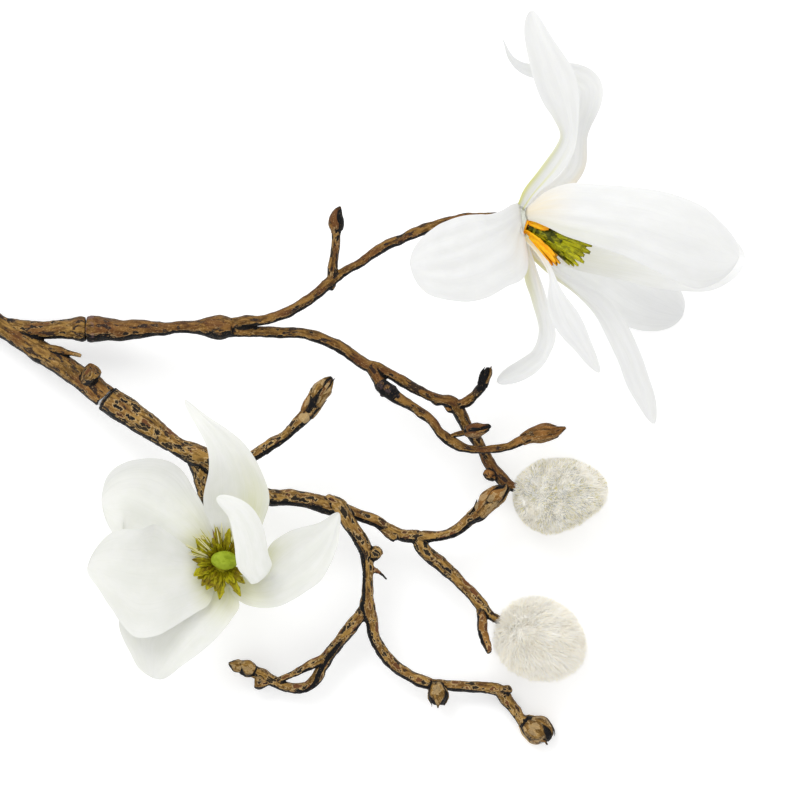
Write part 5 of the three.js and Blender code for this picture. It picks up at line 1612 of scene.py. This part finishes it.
def floor_material(white, glow):
    """A pale matte floor with very faint clouds, lit a little from below as a light table is."""
    material, tree, shader = new_material("pale_floor")
    clouds = noise_node(tree, object_place(tree), 4.0, 3.0)
    darker = (*(0.985 * part for part in white), 1)
    feed(tree, shader.inputs, {
        "Base Color": mix_colours(tree, clouds, (*white, 1), darker),
        "Roughness": 0.9,
        "Specular IOR Level": 0.1,
        "Emission Color": (1, 1, 1, 1),
        "Emission Strength": glow,
    })
    return material


def turned_piece(name, node_name, slot, profile, seat, material):
    """A fine turned body that stands on its seat's place along its axis."""
    points, faces, around, share = turned(profile)
    mesh = mesh_of(name, stand(points, seat["place"], seat["axis"]), faces)
    add_uv(mesh, around, share)
    return finish_piece(placed(name, mesh), slot, node_name, material=material)


# How a strap or finger is shaped: its outline (places along it, share of the full width),
# the teeth of its edges, and its bend, cup and ridges.
OLIVE_STRAP = {
    "rows": 30, "columns": 9,
    "outline": ((0, 0.25, 0.5, 0.75, 0.9, 1), (0.35, 0.7, 1, 0.9, 0.6, 0.12)),
    "teeth": 4, "notch": 0.45, "bend": 0.2, "cup": -0.4, "ridge": 0.25, "ridges": 2, "thick": 0.4,
}
ORANGE_FINGER = {
    "rows": 20, "columns": 9, "outline": ((0, 0.25, 0.6, 0.85, 1), (0.45, 0.8, 1, 0.85, 0.4)),
    "teeth": 3, "notch": 0.16, "bend": 0.04, "cup": -0.5, "ridge": 0.22, "ridges": 3, "thick": 0.5,
}
GREEN_FINGER = {
    "rows": 22, "columns": 9, "outline": ((0, 0.25, 0.6, 0.85, 1), (0.5, 0.8, 1, 0.85, 0.35)),
    "teeth": 0, "notch": 0, "bend": 0.05, "cup": -0.7, "ridge": 0.2, "ridges": 2, "thick": 0.5,
}


def peg_profile(size):
    """A peg's outline (radius, height), with a collar in the middle where it has one."""
    half, radius = size["length"] / 2, size["radius"]
    collar, rim = size["collar"], size["collar_width"] / 2
    ends = [(0, -half), (radius - PEG_BEVEL, -half), (radius, -half + PEG_BEVEL)]
    middle = [(radius, -rim), (collar, -rim), (collar, rim), (radius, rim)] if rim else []
    return ends + middle + [(r, -height) for r, height in reversed(ends)]


def collar_part(crown):
    """The collar that a crown's straps stand on."""
    rise, radius, height = crown["rise"], crown["collar"], crown["collar_height"]
    return turned([(0, rise), (radius, rise), (radius, rise + height), (0, rise + height)])


def egg_core(form, hair):
    """A fuzzy bud's skin under its hair, and the way the hair lies at each point of it."""
    shape = bmesh.new()
    bmesh.ops.create_icosphere(shape, subdivisions=4, radius=1)
    ball = np.array([point.co for point in shape.verts])
    faces = [[point.index for point in face.verts] for face in shape.faces]
    shape.free()
    girth = (form["wide"] - hair) * (1 - form["taper"] * ball[:, 1])
    waves = np.sin(ball @ np.array(((9, 4, 2), (3, 11, 5), (2, 5, 8.0))) + (1, 2, 3)).sum(1)
    girth = girth + form["lumps"] * waves / 1.5
    along = ball[:, 1] * (form["long"] - hair)
    skin = np.column_stack([ball[:, 0] * girth, along, ball[:, 2] * girth])
    facing = unit(ball / np.array((form["wide"], form["long"], form["wide"])))
    flow = np.array((0, 1.0, 0)) - facing * facing[:, 1:2]
    return skin, faces, flow


def fuzzy_bud(name, form, settings, seed):
    """A fuzzy bud: an egg covered in short hairs that lie towards its tip."""
    skin, faces, flow = egg_core(form, settings.hair_length / MM * form["pile"])
    core = placed(name + "_hair", mesh_of(name, stand(skin, form["place"], form["axis"]), faces))
    store(core.data, "flow", stand(flow, (0, 0, 0), form["axis"]), "FLOAT_VECTOR")
    run_tree(core, hair_pile(), {
        "Hair Density": settings.hair_density,
        "Hair Length": settings.hair_length * form["length"],
        "Hair Radius": settings.hair_radius,
        "Lean": form["lean"],
        "Swirl": form["swirl"],
        "Seed": seed,
        "Material": fuzz_material(name + "_fuzz", settings, form["bright"], form["specks"]),
    })
    return finish_piece(placed(name + "_hair", plain_mesh(core, name)), "fuzz", name)


# ---- settings


def a_number(name, description, default, **kind):
    return FloatProperty(name=name, description=description, default=default, min=0, **kind)


def a_length(name, description, default):
    kind = {"precision": 5, "subtype": "DISTANCE", "unit": "LENGTH"}
    return a_number(name, description, default, **kind)


def a_colour(name, description, default):
    return FloatVectorProperty(
        name=name, description=description, default=default, size=3, min=0, max=1, subtype="COLOR")


class BarkSettings(bpy.types.PropertyGroup):
    """The bark of the three lengths of wood."""

    ridge_height: a_length("Ridge height", "How far the bark's ridges stand out", 0.00045)
    lump_height: a_length("Lump height", "How uneven the wood is along its length", 0.0013)
    golden_brown: a_colour("Golden brown", "The light streaks of the bark", (0.45, 0.262, 0.066))
    middle_brown: a_colour("Middle brown", "The bark between its streaks", (0.165, 0.087, 0.019))
    dark_brown: a_colour("Dark brown", "The dark patches and the flecks", (0.018, 0.011, 0.011))
    # Blue black is the flecks' own black and the painted shade of hollows, bands, the shaded side
    # and scale rims.
    blue_black: a_colour("Blue black", "The bark's hollows and dark side", (0.004, 0.004, 0.005))
    red_brown: a_colour("Red brown", "Rusty marks and patches", (0.13, 0.046, 0.016))
    # Pale wood is the colour of scars and splinters, and the painted highlight of glints and pale
    # rims.
    pale_wood: a_colour("Pale wood", "Scars, splinters and glints", (0.6, 0.42, 0.2))
    amber: a_colour("Amber", "Bud scales and small flaps", (0.3, 0.13, 0.03))
    purple_grey: a_colour("Purple grey", "The sheen on the upper joint's cuff", (0.2, 0.13, 0.14))
    # The way the painted shade on the bark's side looks.
    dark_side: FloatVectorProperty(
        name="Dark side", description="The way the bark's dark side looks",
        default=(0.0, -0.75, -0.66), size=3, subtype="DIRECTION")


class MouldedSettings(bpy.types.PropertyGroup):
    """The pale pegs in the joints and the blooms' bases."""

    peg_grey: a_colour("Peg grey", "The pegs in the two sleeve joints", (0.56, 0.57, 0.58))
    base_green: a_colour("Base green", "The knob that carries a bloom's tepals", (0.42, 0.46, 0.12))
    base_pale: a_colour("Pale base", "The knob that carries the upper tepals", (0.72, 0.74, 0.66))


class TepalSettings(bpy.types.PropertyGroup):
    """The white tepals of both blooms."""

    thickness: a_length("Thickness", "Thickness of a tepal in its middle", 0.0005)
    cream_white: a_colour("Cream white", "The lower bloom's tepals", (0.775, 0.78, 0.745))
    cream_shade: a_colour(
        "Cream shade", "Soft patches on the lower bloom's tepals", (0.74, 0.75, 0.705))
    cool_white: a_colour("Cool white", "The upper bloom's tepals", (0.80, 0.805, 0.80))
    cool_shade: a_colour(
        "Cool shade", "Soft patches on the upper bloom's tepals", (0.765, 0.77, 0.765))
    claw_green: a_colour("Claw green", "The yellow-green tint of the claws", (0.62, 0.62, 0.16))
    claw_gold: a_colour("Claw gold", "The orange-yellow tint of a claw", (0.85, 0.62, 0.2))
    # The painted shade on folds and curled tips.
    fold_grey: a_colour("Fold grey", "The soft grey of folds and curled tips", (0.46, 0.47, 0.48))


class MiddleSettings(bpy.types.PropertyGroup):
    """The straps and the knob in the blooms' middles."""

    olive: a_colour("Olive", "The lower bloom's straps", (0.36, 0.33, 0.003))
    olive_brown: a_colour("Olive brown", "The browner straps", (0.17, 0.11, 0.002))
    # Dark olive is painted shade in the hollows of the straps and fingers.
    olive_dark: a_colour("Dark olive", "Hollows of the straps and fingers", (0.045, 0.045, 0.003))
    olive_tip: a_colour("Olive tip", "Their tips", (0.5, 0.46, 0.008))
    orange: a_colour("Orange", "The upper bloom's outer fingers", (1.0, 0.56, 0.004))
    # Deep orange is the fingers' own deeper colour, and painted shade in their hollows.
    orange_deep: a_colour("Deep orange", "Their roots and hollows", (0.9, 0.25, 0.002))
    yellow_tip: a_colour("Yellow tip", "Their tips", (1.0, 0.5, 0.02))
    finger_green: a_colour("Finger green", "The upper bloom's inner fingers", (0.46, 0.46, 0.003))
    finger_brown: a_colour("Finger brown", "The upper bloom's shaded heart", (0.05, 0.06, 0.002))
    # Knob green is also the painted shade in the hollows of the knob's ridges.
    knob_green: a_colour("Knob green", "The lower bloom's knob", (0.22, 0.29, 0.006))
    knob_light: a_colour("Light knob green", "The knob's top", (0.36, 0.45, 0.03))


class FuzzSettings(bpy.types.PropertyGroup):
    """The hairs of the two fuzzy buds."""

    hair_length: a_length("Hair length", "Length of the longest hairs", 0.003)
    hair_radius: a_length("Hair radius", "Radius of a hair at its root", 0.00017)
    hair_density: a_number("Hair density", "Hairs on a square metre of skin", 7e6)
    seed: IntProperty(name="Seed", description="Starts the random draws of the hairs", default=11)
    pale: a_colour("Pale hair", "Most of the hairs", (1.0, 0.99, 0.95))
    warm: a_colour("Warm hair", "The hairs among them", (1.0, 0.955, 0.85))
    yellow_speck: a_colour("Yellow speck", "Small yellow-green specks", (0.7, 0.63, 0.16))
    # Grey specks are painted shadow between the hairs.
    grey_speck: a_colour("Grey speck", "Small grey specks", (0.5, 0.51, 0.5))


class StageSettings(bpy.types.PropertyGroup):
    """The camera, the floor and the light."""

    camera_height: a_length("Camera height", "How far above the floor the camera is", 4.03)
    view_centre: FloatVectorProperty(
        name="View centre", description="The point of the floor in the middle of the picture",
        default=(0.04428, -0.00666), size=2, subtype="XYZ", unit="LENGTH")
    lens: a_number("Lens", "Focal length of the camera in millimetres", 500)
    floor_white: a_colour("Floor", "Colour of the floor", (0.93, 0.93, 0.93))
    sky_light: a_number("Sky light", "Strength of the even light from all round", 0.95)
    key_power: a_number("Key power", "Power of the large soft light in watts", 26)
    floor_glow: a_number("Floor glow", "Light that the floor gives off, as a light table", 0.24)


SETTINGS = {
    "magnolia_bark": BarkSettings,
    "magnolia_moulded": MouldedSettings,
    "magnolia_tepals": TepalSettings,
    "magnolia_middles": MiddleSettings,
    "magnolia_fuzz": FuzzSettings,
    "magnolia_stage": StageSettings,
}


# ---- operators


class MAGNOLIA_OT_stage(bpy.types.Operator):
    """Sets up the camera, the pale floor and the soft light"""

    bl_idname = "magnolia.stage"
    bl_label = "Stage"

    def execute(self, context):
        settings = context.scene.magnolia_stage
        x, y = settings.view_centre
        camera = placed("camera", bpy.data.cameras.new("camera"))
        camera.location = (x, y, settings.camera_height)
        camera.data.lens = settings.lens
        camera.data.clip_end = VIEW_DEPTH
        context.scene.camera = camera
        floor = placed("floor", mesh_of("floor", *floor_disc()))
        floor.data.materials.append(floor_material(settings.floor_white, settings.floor_glow))
        key = bpy.data.lights.new("key", "AREA")
        key.shape = "DISK"
        key.size = KEY_WIDTH
        key.energy = settings.key_power
        lamp = placed("key", key)
        lamp.location = KEY_PLACE
        lamp.rotation_euler = (-lamp.location).to_track_quat("-Z", "Y").to_euler()
        world = bpy.data.worlds.new("sky")
        world.use_nodes = True
        sky = world.node_tree.nodes["Background"].inputs
        feed(world.node_tree, sky, {"Color": (1, 1, 1, 1), "Strength": settings.sky_light})
        context.scene.world = world
        context.scene.view_settings.view_transform = "Standard"
        return {"FINISHED"}


class MAGNOLIA_OT_wood(bpy.types.Operator):
    """Grows the main stem and the two sprays, with their bark"""

    bl_idname = "magnolia.wood"
    bl_label = "Wood"

    def execute(self, context):
        settings = context.scene.magnolia_bark
        for name, limbs, look in (
            ("main_stem", MAIN_LIMBS, SMOOTH_BARK),
            ("upper_spray", UPPER_LIMBS, STREAKED_BARK),
            ("lower_spray", LOWER_LIMBS, FLECKED_BARK),
        ):
            wood(name + "_bark", limbs, settings, look)
        return {"FINISHED"}


class MAGNOLIA_OT_pegs(bpy.types.Operator):
    """Turns the pale pegs inside the two sleeve joints"""

    bl_idname = "magnolia.pegs"
    bl_label = "Pegs"

    def execute(self, context):
        grey = smooth_material("pale_peg", context.scene.magnolia_moulded.peg_grey, 0.45)
        for name, joint, size in (
            ("upper_peg", UPPER_JOINT, UPPER_PEG),
            ("lower_peg", LOWER_JOINT, LOWER_PEG),
        ):
            turned_piece(name + "_turned", name, "peg", peg_profile(size), joint, grey)
        return {"FINISHED"}


class MAGNOLIA_OT_bloom_bases(bpy.types.Operator):
    """Turns the green knobs that carry the tepals"""

    bl_idname = "magnolia.bloom_bases"
    bl_label = "Bloom bases"

    def execute(self, context):
        settings = context.scene.magnolia_moulded
        green = smooth_material("base_green", settings.base_green, 0.6)
        pale = smooth_material("base_pale", settings.base_pale, 0.6)
        for name, form, material in (
            ("lower_bloom_base", LOWER_BASE, green),
            ("upper_bloom_base", UPPER_BASE, pale),
        ):
            turned_piece(name + "_turned", name, "bloom_base", form["profile"], form, material)
        return {"FINISHED"}


class MAGNOLIA_OT_tepals(bpy.types.Operator):
    """Shapes the white tepals of both blooms"""

    bl_idname = "magnolia.tepals"
    bl_label = "Tepals"

    def execute(self, context):
        settings = context.scene.magnolia_tepals
        cream = tepal_material("cream_tepal", settings.cream_white, settings.cream_shade, settings)
        cool = tepal_material("white_tepal", settings.cool_white, settings.cool_shade, settings)
        for bloom, forms, material in (
            ("lower", LOWER_TEPALS, cream),
            ("upper", UPPER_TEPALS, cool),
        ):
            for i, form in enumerate(forms):
                tepal(f"{bloom}_tepal_{i + 1}", form, settings, material)
        return {"FINISHED"}


class MAGNOLIA_OT_lower_middle(bpy.types.Operator):
    """Makes the lower bloom's toothed olive straps and its green knob"""

    bl_idname = "magnolia.lower_middle"
    bl_label = "Lower middle"

    def execute(self, context):
        own = context.scene.magnolia_middles
        olive = plant_material(
            "olive_strap", own.olive_dark, own.olive, own.olive_tip, own.olive_brown)
        lime = plant_material(
            "green_knob", own.knob_green, own.knob_light, own.knob_light, own.knob_green)
        straps = [collar_part(LOWER_STAMENS), *crown_parts(LOWER_STAMENS, OLIVE_STRAP, 3)]
        middle_piece("lower_stamen_straps", "lower_bloom_stamens", "olive_straps",
                     straps, LOWER_MIDDLE, olive)
        knob = [turned(LOWER_PISTIL, lobes=7, lobe_depth=0.03)]
        middle_piece("lower_pistil_knob", "lower_bloom_pistil", "green_knob",
                     knob, LOWER_KNOB, lime)
        return {"FINISHED"}


class MAGNOLIA_OT_upper_middle(bpy.types.Operator):
    """Makes the upper bloom's orange and olive-green fingers"""

    bl_idname = "magnolia.upper_middle"
    bl_label = "Upper middle"

    def execute(self, context):
        own = context.scene.magnolia_middles
        orange = plant_material(
            "orange_finger", own.orange_deep, own.orange, own.yellow_tip, own.orange_deep)
        green = plant_material(
            "green_finger", own.olive_dark, own.finger_green, own.olive_tip, own.finger_brown)
        outer = [collar_part(UPPER_STAMENS), *crown_parts(UPPER_STAMENS, ORANGE_FINGER, 5)]
        middle_piece("upper_stamen_fingers", "upper_bloom_stamens", "orange_straps",
                     outer, UPPER_MIDDLE, orange)
        core = (*turned(UPPER_CORE), CORE_TONE)
        inner = [core, collar_part(UPPER_PISTIL), *crown_parts(UPPER_PISTIL, GREEN_FINGER, 8)]
        middle_piece("upper_pistil_fingers", "upper_bloom_pistil", "olive_straps",
                     inner, UPPER_MIDDLE, green)
        return {"FINISHED"}


class MAGNOLIA_OT_fuzzy_buds(bpy.types.Operator):
    """Covers the two large buds with short hairs"""

    bl_idname = "magnolia.fuzzy_buds"
    bl_label = "Fuzzy buds"

    def execute(self, context):
        settings = context.scene.magnolia_fuzz
        for i, form in enumerate(FUZZY_BUDS):
            fuzzy_bud(f"fuzzy_bud_{i + 1}", form, settings, settings.seed + i)
        return {"FINISHED"}


class MAGNOLIA_PT_branch(bpy.types.Panel):
    """Lists the pieces of the branch and their settings"""

    bl_idname = "MAGNOLIA_PT_branch"
    bl_label = "Magnolia Branch"
    bl_space_type = "VIEW_3D"
    bl_region_type = "UI"
    bl_category = "Magnolia"

    def draw(self, context):
        for operator in OPERATORS:
            self.layout.operator(operator.bl_idname)
        for key, group in SETTINGS.items():
            box = self.layout.box()
            box.label(text=group.__doc__)
            for setting in group.__annotations__:
                box.prop(getattr(context.scene, key), setting)


OPERATORS = (
    MAGNOLIA_OT_stage,
    MAGNOLIA_OT_wood,
    MAGNOLIA_OT_pegs,
    MAGNOLIA_OT_bloom_bases,
    MAGNOLIA_OT_tepals,
    MAGNOLIA_OT_lower_middle,
    MAGNOLIA_OT_upper_middle,
    MAGNOLIA_OT_fuzzy_buds,
)


def register():
    for group in (*SETTINGS.values(), *OPERATORS, MAGNOLIA_PT_branch):
        bpy.utils.register_class(group)
    for name, group in SETTINGS.items():
        setattr(bpy.types.Scene, name, PointerProperty(type=group))


def unregister():
    for name in SETTINGS:
        delattr(bpy.types.Scene, name)
    for group in reversed((*SETTINGS.values(), *OPERATORS, MAGNOLIA_PT_branch)):
        bpy.utils.unregister_class(group)


def main():
    """Makes the whole branch."""
    register()
    bpy.ops.magnolia.stage()
    bpy.ops.magnolia.wood()
    bpy.ops.magnolia.pegs()
    bpy.ops.magnolia.bloom_bases()
    bpy.ops.magnolia.tepals()
    bpy.ops.magnolia.lower_middle()
    bpy.ops.magnolia.upper_middle()
    bpy.ops.magnolia.fuzzy_buds()


if __name__ == "__main__":
    main()
